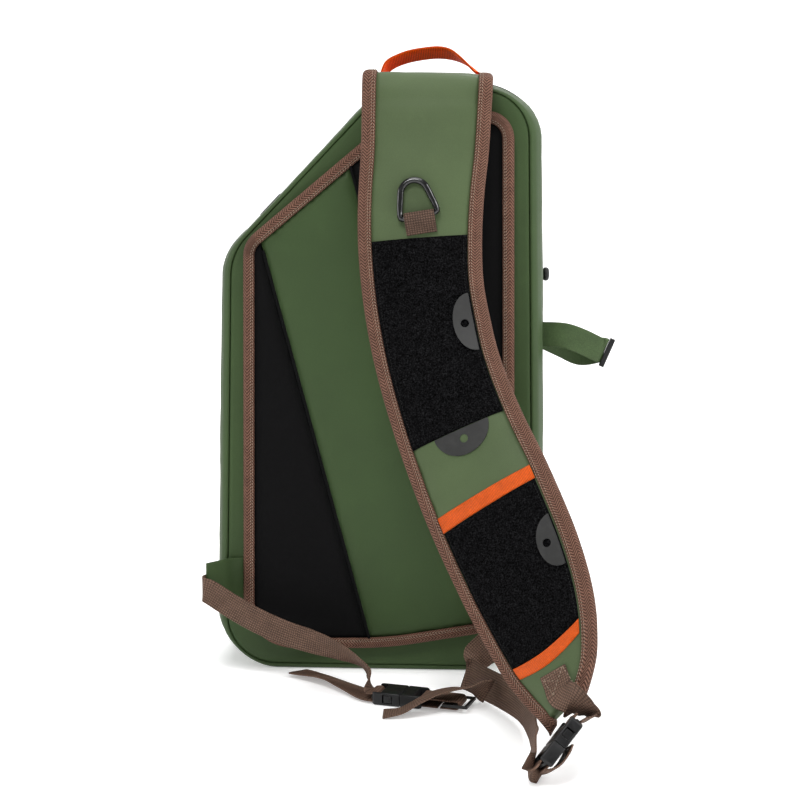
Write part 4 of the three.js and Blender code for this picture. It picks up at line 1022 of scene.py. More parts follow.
class Strap:
    """Middle line and surface of the shoulder strap, read by metres from its crest"""

    def __init__(self):
        s = strap_sizes()
        root = BAG_TOP + SEAM + GAP + s.thick / 2 + 0.001
        rows = [
            (STRAP_MIDDLE, BACK_Y + STRAP_ROOT, root, 0.99, 0, 0),
            (STRAP_MIDDLE, BACK_Y + STRAP_ROOT / 2, root + 0.0002, 0.99, 0, 0),
            (STRAP_MIDDLE, lerp(BACK_Y, CREST_Y, 0.28), root + 0.0012, 0.993, -1, 0),
        ]
        top = PANEL_TOP + 0.008
        for down, side, out, width, lean, twist in STRAP_ROWS:
            place = (STRAP_MIDDLE + side * s.side, CREST_Y - out * s.reach, top - down * s.drop)
            rows.append((*place, width, lean, twist))
        self.rows = rows
        self.width = s.width
        self.crown = s.crown
        self.path = Path([Vector(row[:3]) for row in rows])
        steps, spans = 12, len(rows) - 1
        lengths, total, last = [0.0], 0.0, self.path.at(0)
        for i in range(1, spans * steps + 1):
            here = self.path.at(i / (spans * steps))
            total += (here - last).length
            last = here
            if i % steps == 0:
                lengths.append(total)
        self.lengths = [value - lengths[3] for value in lengths]
        self.start, self.end = self.lengths[0], self.lengths[-1]

    def frame(self, length):
        known = self.lengths
        i = next((k for k, value in enumerate(known) if value > length), len(known) - 1) - 1
        i = clamp(i, 0, len(known) - 2)
        at = clamp(i + (length - known[i]) / (known[i + 1] - known[i]), 0, len(known) - 1)
        share = at / (len(known) - 1)
        middle, run = self.path.at(share), self.path.run(share)
        lean = math.radians(catmull([row[4] for row in self.rows], at))
        twist = math.radians(catmull([row[5] for row in self.rows], at))
        cross = Vector((math.cos(lean) * math.cos(twist), -math.sin(twist), math.sin(lean) * math.cos(twist)))
        face = run.cross(cross).normalized()
        half = self.width * catmull([row[3] for row in self.rows], at) / 2
        return middle, cross, run, face, half

    def spot(self, length, across, lift):
        middle, cross, _run, face, half = self.frame(length)
        crown = self.crown * smoothstep(length, -STRAP_ROOT / 4, STRAP_ROOT)
        share = across / half
        return middle + cross * across + face * (lift - crown * share * share)

    def inner(self, length):
        return self.frame(length)[4] - strap_sizes().tape


# Creases across the strap: place from its crest, depth, width and slant
CREASES = [
    (0.004, 0.0012, 0.007, 0.5),
    (0.017, 0.0009, 0.006, -0.3),
    (-0.012, 0.0009, 0.007, 0.2),
    (0.295, 0.0008, 0.010, 0.6),
    (0.312, 0.0006, 0.007, -0.8),
]

# Trim along the strap, from its crest
PATCH_UPPER = 0.122
PATCH_UPPER_LONG = 0.152
PATCH_LOWER_LONG = 0.111
ORANGE_UPPER = 0.3246
ORANGE_WIDTH = 0.0115
ORANGE_LOWER_WIDTH = 0.0095
PATCH_THICK = 0.0012
ORANGE_THICK = 0.0014


def padded_lift(length, share, side):
    """Puff of the padded core between its tapes, with creases where it bends"""
    puff = 0.0009 * (1 - share ** 4) - 0.0007 * share ** 8
    for at, deep, wide, slant in CREASES:
        off = (length - at - slant * 0.006 * share) / wide
        puff -= deep * math.exp(-off * off)
    puff += 0.0005 * noise.noise(Vector((length * 34, share * 1.4, side * 3.0)))
    return puff


class BAG_OT_strap(bpy.types.Operator):
    """Padded strap with its tapes, loop patches, orange bands and stitching"""

    bl_idname = "bag.strap"
    bl_label = "Shoulder strap"

    def execute(self, _context):
        s, c = strap_sizes(), colours()
        strap = Strap()
        green = coated("coated green", c.green)
        self.core(strap, green, s)
        tape = taped("herringbone tape with painted groove shade", c.tape)
        thread = threaded("light thread", c.thread)
        for side, name in ((-1, "left"), (1, "right")):
            self.binding(strap, side, name, tape, thread, s)
        pile = piled("loop pile", c.pile)
        orange = webbing(
            "orange ribbed", c.orange, ribs=0.0012, ends=0.0009, rough=0.34, bump=0.6, shine=0.22
        )
        upper_end = PATCH_UPPER + PATCH_UPPER_LONG
        low_start = ORANGE_UPPER + ORANGE_WIDTH + GAP
        low_end = low_start + PATCH_LOWER_LONG

        def bow(share):
            return 0.005 * (1 - share * share)

        def level(length):
            return lambda _share: length

        def bowed(length):
            return lambda share: length + bow(share)

        patch = (PATCH_THICK, pile, "loop_pile")
        band = (ORANGE_THICK, orange, "orange_webbing")
        low_band = low_end + GAP
        upper = (level(PATCH_UPPER), level(upper_end))
        lower = (level(low_start), bowed(low_end))
        band_upper = (level(ORANGE_UPPER), level(ORANGE_UPPER + ORANGE_WIDTH))
        band_lower = (bowed(low_band), bowed(low_band + ORANGE_LOWER_WIDTH))
        for name, node, ends, kind, narrow, rows in (
            ("loop_patch_upper", "strap_loop_patch_upper", upper, patch, 0.0, 60),
            ("loop_patch_lower", "strap_loop_patch_lower", lower, patch, 0.0006, 44),
            ("band_upper", "orange_band_upper", band_upper, band, 0.0, 8),
            ("band_lower", "orange_band_lower", band_lower, band, 0.0008, 8),
        ):
            self.trim(strap, name, node, ends, kind, narrow, rows, s)
        dark = threaded("dark thread", (0.006, 0.006, 0.006))
        self.patch_stitches(strap, dark, ((PATCH_UPPER, upper_end), (low_start, low_end)))
        return {"FINISHED"}

    @staticmethod
    def core(strap, look, s):
        rows, cols = 190, 18
        stop = strap.end - 0.0075
        lengths = spaced(strap.start, stop, rows)
        for side in (1, -1):

            def spot(i, j):
                length = lengths[i]
                share = -1 + 2 * j / cols
                reach = max(0.001, strap.inner(length) + 0.0012)
                if side > 0:
                    lift = s.thick / 2 + padded_lift(length, share, side)
                else:
                    lift = -s.thick / 2 - 0.0002 + 0.0006 * abs(share) ** 6
                return strap.spot(length, share * reach, lift)

            bm = shell_of(rows, cols, spot, False, lambda i, j: (lengths[i], 0.08 * j / cols))
            if side > 0:
                face = bm
            else:
                back = bm
        joined = bpy.data.meshes.new("strap_back")
        back.to_mesh(joined)
        back.free()
        face.from_mesh(joined)
        bpy.data.meshes.remove(joined)
        rims = [e for e in face.edges if e.is_boundary]
        bmesh.ops.bridge_loops(face, edges=rims)
        piece = finished(face, "strap_core", look, slot="green_tpu", replaces=("shoulder_strap_pad",))

    @staticmethod
    def binding(strap, side, name, look, thread, s):
        high = s.thick / 2 + 0.001
        rows = 200
        lengths = spaced(strap.start + 0.0002, strap.end, rows)
        over = [
            (0.0, 0.55), (0.02, 0.86), (0.08, 0.98), (0.3, 1.02),
            (0.6, 1.0), (0.82, 0.86), (0.94, 0.6), (1.0, 0.25),
        ]
        profile = over + [(a, -b) for a, b in reversed(over)] + over[:1]
        across = [0.0]
        for (a, b), (c, d) in zip(profile, profile[1:]):
            across.append(across[-1] + math.hypot((c - a) * s.tape, (d - b) * high))

        def spot(i, j):
            length = lengths[i]
            half = strap.frame(length)[4]
            start = max(0.0002, half - s.tape)
            share, lift = profile[j]
            ripple = 0.00016 * math.sin(length * 2 * math.pi / 0.0049) * (1 if share < 0.9 else 0.2)
            full = 0.3 + 0.7 * smoothstep(strap.end - length, 0.0, 0.008)
            up = (lift * high + math.copysign(1, lift) * ripple) * full
            return strap.spot(length, side * lerp(start, half - 0.0002, share), up)

        bm = shell_of(rows, len(profile) - 1, spot, True, lambda i, j: (lengths[i], across[j]))
        rims = [e for e in bm.edges if e.is_boundary]
        bmesh.ops.holes_fill(bm, edges=rims, sides=40)
        finished(bm, f"strap_tape_{name}", look, slot="brown_binding", replaces=(f"strap_binding_{name}",))

        sewn = spaced(strap.start + 0.004, strap.end - 0.012, 260)
        lines = [
            [strap.spot(q, side * (strap.inner(q) + off), high + 0.0001) for q in sewn]
            for off in (0.0012, 0.0030)
        ]
        sew(f"tape_stitches_{name}", lines, lambda k, _t: strap.frame(sewn[min(k, 259)])[3], thread)

    @staticmethod
    def trim(strap, name, node, ends, kind, narrow, rows, s):
        """Patch or band that lies on the strap between two lines across it"""
        start, stop = ends
        thick, look, slot = kind
        low = s.thick / 2 + GAP
        cols = 30

        def spot(i, j):
            share = -1 + 2 * j / cols
            t = i / rows
            length = lerp(start(share), stop(share), t)
            reach = strap.inner(length) - 0.0001 - narrow
            rim = min(t, 1 - t) * abs(stop(share) - start(share))
            side = (1 - abs(share)) * reach
            near = min(rim, side)
            lift = low + thick * (0.55 + 0.45 * smoothstep(near, 0.0, 0.0016))
            lift += 0.0003 * noise.noise(Vector((length * 60, share * 3, 2.0)))
            least = low + padded_lift(length, share, 1) * 0.7 + thick * 0.4
            return strap.spot(length, share * reach, max(lift, least))

        bm = shell_of(
            rows, cols, spot, False,
            lambda i, j: (0.09 * j / cols, lerp(start(0), stop(0), i / rows)),
        )
        piece = finished(bm, name, look, slot=slot, replaces=(node,))
        thicken(piece, thick * 0.9, -1)

    @staticmethod
    def patch_stitches(strap, look, patches):
        lift = strap_sizes().thick / 2 + GAP + PATCH_THICK
        rows = [
            [
                strap.spot(q, side * (strap.inner(q) - 0.0028), lift)
                for q in spaced(start + 0.003, stop - 0.003, 60)
            ]
            for start, stop in patches
            for side in (-1, 1)
        ]
        sew("patch_stitches", rows, Vector((-0.2, -0.9, 0.3)), look, slot="loop_pile")


# Webbing


def ribbon(name, rows, width, look, slot, nodes, steps=120, cols=6, thick=None, crimp=0.0002):
    """Webbing through rows of middle points and cross lines, with rounded selvedges"""
    thick = thick or strap_sizes().web_thick
    path = Path([at for at, _ in rows])
    spans = len(rows) - 1
    lengths, frames, last = [0.0], [], None
    for t in spaced(0, 1, steps):
        run = path.run(t)
        cross = Vector([catmull([cross[k] for _, cross in rows], t * spans) for k in range(3)])
        cross = (cross - run * cross.dot(run)).normalized()
        middle = path.at(t)
        if last is not None:
            lengths.append(lengths[-1] + (middle - last).length)
        last = middle
        frames.append((middle, cross, run.cross(cross)))
    section = [(-0.5, -0.2), (-0.485, -0.42), (-0.45, -0.5)]
    section += [(x, -0.5) for x in spaced(-0.35, 0.35, cols)]
    section += [(0.45, -0.5), (0.485, -0.42), (0.5, -0.2), (0.5, 0.2), (0.485, 0.42), (0.45, 0.5)]
    section += [(x, 0.5) for x in spaced(0.35, -0.35, cols)]
    section += [(-0.45, 0.5), (-0.485, 0.42), (-0.5, 0.2)]

    def spot(i, j):
        middle, cross, face = frames[i]
        across, up = section[j % len(section)]
        ripple = crimp * noise.noise(Vector((lengths[i] * 90, across * 2, width * 50)))
        return middle + cross * (across * width) + face * (up * thick * 0.96 + ripple)

    def flat(i, j):
        """Webbing laid flat, its second face beside the first"""
        second = 0.1 if j > len(section) / 2 else 0
        return section[j % len(section)][0] * width + second, lengths[i]

    bm = shell_of(steps, len(section), spot, True, flat)
    rims = [e for e in bm.edges if e.is_boundary]
    bmesh.ops.holes_fill(bm, edges=rims, sides=60)
    return finished(bm, name, look, slot=slot, replaces=nodes)


def along(start, stop, table):
    """Rows of a webbing route: a share of the way and offsets as shares of it, then the cross line"""
    way = stop - start
    span = way.length
    return [
        (start + way * share + Vector((side, out, up)) * span, Vector(cross).normalized())
        for share, side, out, up, cross in table
    ]


def turned_frame(middle, x, y):
    x = x.normalized()
    y = (y - x * y.dot(x)).normalized()
    z = x.cross(y)
    return Matrix((
        (x.x, y.x, z.x, middle.x),
        (x.y, y.y, z.y, middle.y),
        (x.z, y.z, z.z, middle.z),
        (0, 0, 0, 1),
    ))


BAR_RING = math.hypot(0.003, 0.0024) / 2 + GAP + 0.00075


def round_bar(bar, matrix, sign, lead, tail, flip=1):
    spots = [(bar + lead, -BAR_RING * flip)]
    for a in spaced(-math.pi / 2, math.pi / 2, 6):
        spots.append((bar - BAR_RING * math.cos(a), BAR_RING * math.sin(a) * flip))
    spots.append((bar + tail, BAR_RING * flip))
    cross = (matrix.to_3x3() @ Vector((0, 1, 0))).normalized()
    return [(matrix @ Vector((x * sign, 0, z)), cross) for x, z in spots]


def buckle_places():
    strap = Strap()
    tip = strap.spot(strap.end, 0, 0)
    tip_middle = tip + Vector((-0.002, -0.022, -0.0095))
    tip_frame = turned_frame(tip_middle, Vector((20, 16, 22)), Vector((0.16, -0.89, 0.42)))
    middle = Vector((0.022, CREST_Y - 0.059, 0.005 + GAP))
    floor_frame = turned_frame(middle, Vector((-0.965, 0.26, 0)), Vector((-0.26, -0.965, 0)))
    return strap, tip, tip_frame, middle, floor_frame


TIP_BAR = 0.0185
FLOOR_BAR = 0.0195


class BAG_OT_webbing(bpy.types.Operator):
    """Waist and main webbing, the loop by the slide and the webbing on the strap's tip"""

    bl_idname = "bag.webbing"
    bl_label = "Webbing"

    def execute(self, _context):
        s, c = strap_sizes(), colours()
        brown = webbing("brown webbing", c.webbing)
        strap, tip, tip_frame, middle, floor_frame = buckle_places()
        left, right = pad_corners()[4][0], pad_corners()[0][0]

        wing_end = Vector((left - 0.027, BACK_Y - 0.022, 0.076))
        floor_left = floor_frame @ Vector((FLOOR_BAR, 0, 0))
        rows = along(wing_end, floor_left, [
            (0, 0.037, 0.067, -0.018, (0, 0, 1)),
            (0, 0.006, 0.035, -0.018, (0, 0, 1)),
            (0, -0.0175, -0.0085, -0.018, (0, 0, 1)),
            (0, -0.009, -0.029, -0.021, (0.05, 0, 1)),
            (0, 0.018, -0.038, -0.03, (0.2, 0, 1)),
            (0.14, 0, -0.01, -0.028, (0.33, 0, 0.94)),
            (0.283, 0, 0.01, -0.027, (0.35, 0, 0.94)),
            (0.46, 0, 0.03, -0.005, (0.33, -0.05, 0.94)),
            (0.617, 0, 0.045, 0.032, (0.33, -0.2, 0.9)),
            (0.773, 0, 0.052, 0.068, (0.38, -0.6, 0.7)),
            (0.88, 0, 0.043, 0.085, (0.4, -0.85, 0.3)),
            (0.94, 0.004, 0.03, 0.068, (0.35, -0.93, 0.05)),
        ])
        rows += round_bar(FLOOR_BAR, floor_frame, 1, 0.005, 0.006, -1)
        rows += along(floor_left, Vector((wing_end.x / 2, BACK_Y - 0.012, s.web_thick)), [
            (0.3, 0.01, -0.02, -0.01, (-0.5, -0.85, 0.1)),
            (0.6, 0.02, -0.02, 0.02, (-0.35, -0.93, 0.25)),
            (0.98, 0.02, -0.02, 0.01, (-0.2, -0.97, 0.1)),
        ])
        ribbon("waist_strap_left", rows, s.web_narrow, brown, "brown_webbing", ("waist_webbing_left",), 260)

        near, far = -FLOOR_BAR, -FLOOR_BAR - 0.027
        spots = [(lerp(near, far, 0.55), -BAR_RING), (far + 0.004, -BAR_RING)]
        spots += [(far - BAR_RING * math.sin(a), -BAR_RING * math.cos(a)) for a in spaced(0, math.pi, 6)]
        spots += [(far + 0.004, BAR_RING), (near - 0.004, BAR_RING)]
        spots += [(near + BAR_RING * math.sin(a), BAR_RING * math.cos(a)) for a in spaced(0, math.pi, 6)]
        spots += [(near - 0.004, -BAR_RING), (lerp(near, far, 0.47), -BAR_RING)]
        cross = (floor_frame.to_3x3() @ Vector((0, 1, 0))).normalized()
        rows = [(floor_frame @ Vector((x, 0, z)), cross) for x, z in spots]
        ribbon("waist_loop_strap", rows, s.web_narrow, brown, "brown_webbing", ("waist_loop",), 160)

        fold = Vector((STRAP_MIDDLE + 0.032, CREST_Y - 0.024, s.web_wide / 2 + GAP))
        wing_face = Vector((right + 0.009, BACK_Y - 0.019, 0.072))
        plug = tip_frame @ Vector((-TIP_BAR, 0, 0))
        rows = along(wing_face, fold, [
            (0, 0, 0, 0, (-0.2, 0, 1)),
            (0.3, 0.02, -0.05, -0.03, (-0.3, 0, 1)),
            (0.6, 0.01, -0.02, -0.02, (-0.1, 0, 1)),
            (0.86, 0, 0.045, 0.01, (0.2, 0, 1)),
            (0.97, 0.01, 0.04, 0.005, (0.27, 0, 0.96)),
        ])
        rows += along(fold, plug, [
            (0, 0, 0, 0, (0.27, 0, 0.96)),
            (0.02, 0.012, -0.003, 0.002, (0.27, 0, 0.96)),
            (0.11, 0.034, 0.005, 0, (0.2, 0.1, 0.97)),
            (0.26, 0.072, 0.01, 0.005, (0.15, 0.1, 0.98)),
            (0.43, 0.09, 0.015, 0.01, (0.1, -0.05, 0.99)),
            (0.64, 0.067, 0.02, 0.012, (0.1, -0.1, 0.98)),
            (0.83, 0.024, 0.03, 0.013, (0.12, -0.35, 0.93)),
            (0.93, -0.01, 0.02, 0.025, (0.14, -0.7, 0.68)),
        ])
        rows += round_bar(TIP_BAR, tip_frame, -1, 0.005, 0.003)
        tail_cross = (tip_frame.to_3x3() @ Vector((0, 1, 0))).normalized()
        rows += [
            (tip_frame @ Vector((a * 0.02, 0, b * 0.02)), tail_cross)
            for a, b in ((-0.85, 0.36), (-0.5, 0.46), (-0.05, 0.43), (0.2, 0.36))
        ]
        ribbon("main_strap", rows, s.web_wide, brown, "brown_webbing", ("main_webbing",), 300, 8)

        self.tip_webbing(strap, tip, tip_frame, brown, s, c)

        start = middle + Vector((-0.012, -0.031, -0.0042))
        stop = fold + Vector((0.0186, -0.0403, -0.001))
        rows = along(start, stop, [
            (0, 0, 0, 0, (0.1, -0.99, 0)),
            (0.17, 0, -0.05, 0.01, (0.1, -0.98, 0.1)),
            (0.34, 0, -0.08, 0.075, (0.12, -0.97, 0.12)),
            (0.49, 0, -0.06, 0.11, (0.15, -0.95, 0.15)),
            (0.64, 0, -0.04, 0.11, (0.15, -0.95, 0.2)),
            (0.79, 0, -0.03, 0.09, (0.2, -0.9, 0.35)),
            (0.91, 0, -0.015, 0.06, (0.15, -0.6, 0.75)),
            (1, 0, 0, 0, (0.05, -0.1, 0.99)),
        ])
        ribbon("waist_strap_right", rows, s.web_narrow, brown, "brown_webbing", ("waist_webbing_right",), 100)
        return {"FINISHED"}

    @staticmethod
    def tip_webbing(strap, tip, tip_frame, look, s, c):
        lift = s.thick / 2 + GAP + s.web_thick / 2

        def sewn(length, across, more):
            return (strap.spot(length, across, lift + more), strap.frame(length)[1])

        start = strap.end - 0.036
        fold = tip + Vector((0.022, -0.006, 0.0055))
        rows = [
            sewn(start, 0, 0.0002),
            sewn(start + 0.010, 0.0015, 0.0005),
            sewn(start + 0.019, 0.004, 0.0016),
            (fold + Vector((-0.013, -0.0004, 0.0122)), Vector((0.64, -0.3, 0.7)).normalized()),
            (fold + Vector((-0.005, -0.0012, 0.0058)), Vector((0.38, -0.6, 0.7)).normalized()),
            (fold, Vector((0.3, -0.77, 0.5)).normalized()),
        ]
        rows += round_bar(TIP_BAR, tip_frame, 1, 0.004, 0.005, -1)
        ribbon("strap_tip_webbing", rows, 0.022, look, "brown_webbing", ("strap_end_webbing",), 140)
        thread = threaded("light thread", c.thread)
        high = lift + s.web_thick / 2 + 0.0004
        corner = [(0.002, -0.009), (0.002, 0.009), (0.017, 0.013), (0.017, -0.004)]
        places = [strap.spot(start + a, b + 0.12 * a, high + 0.0009 * (a > 0.01)) for a, b in corner]

        def line(p, q):
            return [p.lerp(q, t) for t in spaced(0, 1, 12)]

        lines = [line(places[i], places[(i + 1) % 4]) for i in range(4)]
        lines += [line(places[0], places[2]), line(places[1], places[3])]
        face = strap.frame(start + 0.009)[3]
        sew("tip_box_stitches", lines, face, thread, stitch=1.5 * STITCH, slot="brown_webbing")


HANDLE_LEAN = 27  # degrees backwards
HANDLE_WIDTH = 0.020
HANDLE_THICK = 0.0018
LOOP_PLACE = 0.27  # above the floor
LOOP_REACH = 0.043
LOOP_OPEN = 0.015
LOOP_DROOP = 0.013
LOOP_WIDTH = 0.020
KEEPER_SHADE = 0.7  # the keeper's webbing colour is the webbing's times this
KEEPER_PLACE = 0.106  # along the strap from its crest
KEEPER_TURN = 6  # degrees
KEEPER_LENGTH = 0.013
KEEPER_WIDTH = 0.023
WING_HEIGHT = 0.034
WING_PLACE = 0.076  # its middle above the floor


class BAG_OT_top_and_side(bpy.types.Operator):
    """Carry handle, side loop, the ring's keeper and the wings"""

    bl_idname = "bag.top_and_side"
    bl_label = "Handle, loop, keeper and wings"

    def execute(self, _context):
        s, c = strap_sizes(), colours()
        # The handle's brighter orange is painted light against the shade on its face
        orange = webbing("orange handle with painted light", c.handle, ribs=0.0009, ends=0.0014, rough=0.5, bump=0.5, shine=0.06)
        lean = math.radians(HANDLE_LEAN)
        foot = BAG_TOP + SEAM + 2 * GAP + 0.0009
        y = BACK_Y + STRAP_ROOT + 0.014
        rows = []
        for side, rise, tilt in (
            (-0.26, 0, 0), (-0.4, 0, 0), (-0.49, 0.14, 0.4), (-0.45, 0.5, 1), (-0.3, 0.8, 1), (-0.02, 1, 1),
            (0.17, 0.97, 0.9), (0.34, 0.66, 0.2), (0.47, 0.18, -0.3), (0.42, 0, 0), (0.26, 0, 0),
        ):
            up = rise * s.handle_rise
            at = Vector((STRAP_MIDDLE + side * s.handle_span, y + up * math.sin(lean), foot + up))
            rows.append((at, Vector((0, math.cos(lean * tilt), -math.sin(lean * tilt)))))
        ribbon(
            "handle", rows, HANDLE_WIDTH, orange, "orange_webbing", ("carry_handle",),
            steps=160, cols=8, thick=HANDLE_THICK,
        )

        light = webbing("green band", c.green_light, ribs=0.0008, ends=0.0008, rough=0.5, bump=0.1)
        low_x = self.side_x(LOOP_PLACE - LOOP_WIDTH) + 2 * (GAP + s.web_thick)
        rows = []
        for out, fore, drop, slant in (
            (-0.14, -0.9, 0, 0), (0.3, -1.25, 0.04, 0.2), (0.62, -0.95, 0.42, 0.7),
            (1, -0.25, 1.05, 1), (1.05, 0, 1.05, 1), (1, 0.25, 1.05, 1),
            (0.62, 0.8, 1.3, 0.8), (0.3, 0.85, 0.85, 0.5), (-0.1, 0.5, 0.2, 0.1),
        ):
            y = (fore - 1) * LOOP_OPEN / 2
            at = Vector((low_x + out * LOOP_REACH, y, LOOP_PLACE - drop * LOOP_DROOP))
            rows.append((at, Vector((0.42 * slant, 0, 1)).normalized()))
        ribbon("loop_band", rows, LOOP_WIDTH, light, "green_edge_band", ("side_loop",), 140)
        self.keeper(webbing("keeper webbing", tuple(v * KEEPER_SHADE for v in c.webbing)), s)
        # The wings take the darker copy of the coated green: painted shade
        self.wings(coated("shaded coated green", c.green_shaded))
        return {"FINISHED"}

    @staticmethod
    def side_x(z):
        foot, top = panel_corners()[0], panel_corners()[1]
        edge = lerp(foot[0], top[0], (z - foot[1]) / (top[1] - foot[1]))
        return edge + SEAM + sizes().wall + sizes().side_swell

    @staticmethod
    def keeper(look, s):
        strap = Strap()
        _middle, cross, run, _face, _half = strap.frame(KEEPER_PLACE)
        face = run.cross(cross).normalized()
        up = face.cross(cross).normalized()
        turn = math.radians(KEEPER_TURN)
        across = cross * math.cos(turn) + up * math.sin(turn)
        way = face.cross(across).normalized()
        inner = 0.0023 + GAP
        centre = strap.spot(KEEPER_PLACE, 0, s.thick / 2 + GAP + s.web_thick + inner)
        ring = inner + s.web_thick / 2
        long = KEEPER_LENGTH
        under = -ring + s.web_thick + GAP
        path = [(-long, -ring), (-long / 2, -ring)]
        path += [(ring * math.cos(a), ring * math.sin(a)) for a in spaced(-math.pi / 2, math.pi / 2, 8)]
        path += [(-long * 0.35, ring * 0.95), (-long * 0.8, under + 0.0009), (-long, under)]
        rows = [(centre + way * a + face * b, across) for a, b in path]
        ribbon("ring_keeper", rows, KEEPER_WIDTH, look, "brown_webbing", ("d_ring_keeper",), 90)

    @staticmethod
    def wings(look):
        left, right = pad_corners()[4][0], pad_corners()[0][0]
        for side, root, name in ((-1, left, "left"), (1, right, "right")):
            rows = [
                (Vector((root + side * out, BACK_Y - back, WING_PLACE)), Vector((0, 0, 1)))
                for out, back in ((GAP, GAP + 0.001), (0.0108, 0.005), (0.027, 0.022))
            ]
            ribbon(
                f"wing_flap_{name}", rows, WING_HEIGHT, look, "green_tpu", (f"wing_{name}",),
                steps=24, cols=10, thick=0.002, crimp=0.0004,
            )


def merged_copy(node, flats=True):
    """A copy of a CAD node's mesh with its loose triangles joined, flat faces made whole if asked"""
    bm = bmesh.new()
    bm.from_mesh(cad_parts[node].data)
    bmesh.ops.remove_doubles(bm, verts=bm.verts, dist=1e-6)
    if flats:
        bmesh.ops.dissolve_limit(bm, angle_limit=math.radians(2), verts=bm.verts, edges=bm.edges)
    bm.loops.layers.uv.new("flat")
    return bm


def moulded_piece(node, name, look, slot, edge=0.0004, body="bag", angle=35, flats=True, grow=0.0):
    """A CAD node's own form with rounded edges, and thicker by what it is told to grow"""
    bm = merged_copy(node, flats)
    bm.normal_update()
    for v in bm.verts:
        v.co += v.normal * grow
    piece = finished(bm, name, look, body=body, slot=slot, replaces=(node,), recalc=False)
    if edge:
        rounded(piece, edge, angle)
    piece.data.set_sharp_from_angle(angle=math.radians(50))
    return piece


TOOTH = (0.0026, 0.0009, 0.0009)
TOOTH_PITCH = 0.0015


class BAG_OT_fittings(bpy.types.Operator):
    """Buckles, slides, ring, stud, tabs and the zip"""

    bl_idname = "bag.fittings"
    bl_label = "Buckles, tabs and zip"

    def execute(self, _context):
        c = colours()
        plastic = moulded("black acetal", c.plastic, Specular_IOR_Level=0.3)
        rubber = moulded("grey rubber", c.rubber, bump=0.4, Specular_IOR_Level=0.1)
        for node in (
            "tip_buckle_socket", "tip_buckle_plug", "floor_buckle_socket", "floor_buckle_plug",
            "tri_glide", "side_loop_bar", "zip_slider",
        ):
            moulded_piece(node, f"{node}_moulded", plastic, "black_plastic")
        moulded_piece("side_stud", "side_stud_moulded", plastic, "black_plastic", 0.0003, angle=25)
        for node in ("rubber_tab_upper", "rubber_tab_middle", "rubber_tab_lower"):
            moulded_piece(node, f"{node}_sheet", rubber, "grey_rubber", 0.0002)
        glossy = moulded("glossy acetal", c.plastic, bump=0.05, shine=0.3, Specular_IOR_Level=0.6)
        ring = moulded_piece(
            "d_ring", "ring_moulded", glossy, "black_plastic", 0, body="d_ring", flats=False, grow=0.0003
        )
        refined(ring)
        self.zip(c)
        return {"FINISHED"}

    @staticmethod
    def zip(c):
        """Coated tape, and the coil's teeth over it"""
        s = sizes()
        places, _total = evenly(outline(panel_corners()), 0.004)
        lo, _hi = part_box("zip_tape")
        span = [
            (p, n) for p, n, _ in places
            if (p.x > 0.06 and p.y > lo.z + 0.0035) or (p.x <= 0.06 and p.x > lo.x + 0.0035 and p.y > 0.3)
        ]
        edge = s.zip_slot / 2 - 0.0002
        cols = [-edge, -0.0032, -0.0012, -0.0003, 0.0003, 0.0012, 0.0032, edge]
        lift = [-0.0004, -0.0006, -0.0003, -0.0008, -0.0008, -0.0003, -0.0006, -0.0004]
        run = [0.0]
        for (p, _n), (q, _m) in zip(span, span[1:]):
            run.append(run[-1] + (q - p).length)

        def spot(i, j):
            p, n = span[i]
            return band_spot(p, n, s.zip_offset + cols[j], 0.0, lift[j])

        bm = shell_of(len(span) - 1, len(cols) - 1, spot, False, lambda i, j: (cols[j], run[i]))
        look = coated("coated zip tape", (0.012, 0.012, 0.012))
        piece = finished(bm, "zip_coated_tape", look, slot="zip_tape", replaces=("zip_tape",))
        thicken(piece, 0.001, -1)
        bm = bmesh.new()
        bm.loops.layers.uv.new("flat")
        want = 0.002
        plastic = moulded("black acetal", c.plastic)
        for i in range(len(span) - 1):
            (p, n), (q, m) = span[i], span[i + 1]
            while want < run[i + 1] - 0.001:
                t = (want - run[i]) / max(1e-9, run[i + 1] - run[i])
                at, out = p.lerp(q, t), n.lerp(m, t).normalized()
                for side in (-1, 1):
                    offset = 0.0007 if side > 0 else 0.0
                    way = Vector((-out.y, 0, out.x))
                    middle = band_spot(at, out, s.zip_offset + side * 0.0011, 0.0, 0.0001) + way * offset
                    turn = turned_frame(middle, Vector((0, 1, 0)), way)
                    bmesh.ops.create_cube(bm, size=1, matrix=turn @ Matrix.Diagonal((*TOOTH, 1)))
                want += TOOTH_PITCH
        finished(bm, "zip_coil", plastic, slot="black_plastic", replaces=("zip_chain",), smooth=False)


SWEEP = 9.0  # half the size of the floor before it bends up behind
SWEEP_BEND = 2.6
SWEEP_RADIUS = 1.2
# Lights: name, place, size and power
LIGHTS = (
    ("key_light", (-0.25, -1.35, 1.85), 0.7, 24),
    ("side_light", (1.5, -0.5, 1.5), 0.9, 16),
    ("right_light", (1.7, -0.15, 0.7), 0.9, 9),
    ("left_light", (-1.7, -0.15, 0.7), 0.9, 9),
    ("top_light", (0.1, 0.3, 2.3), 1.4, 26),
)
LIGHTS_AIM = (0, -0.05, 0.22)
CAMERA_PLACE = (0.09997, -1.64053, 0.50234)
CAMERA_AIM = (0.0175, -0.067, 0.2245)
CAMERA_LENS = 91.7
CAMERA_SENSOR = 36


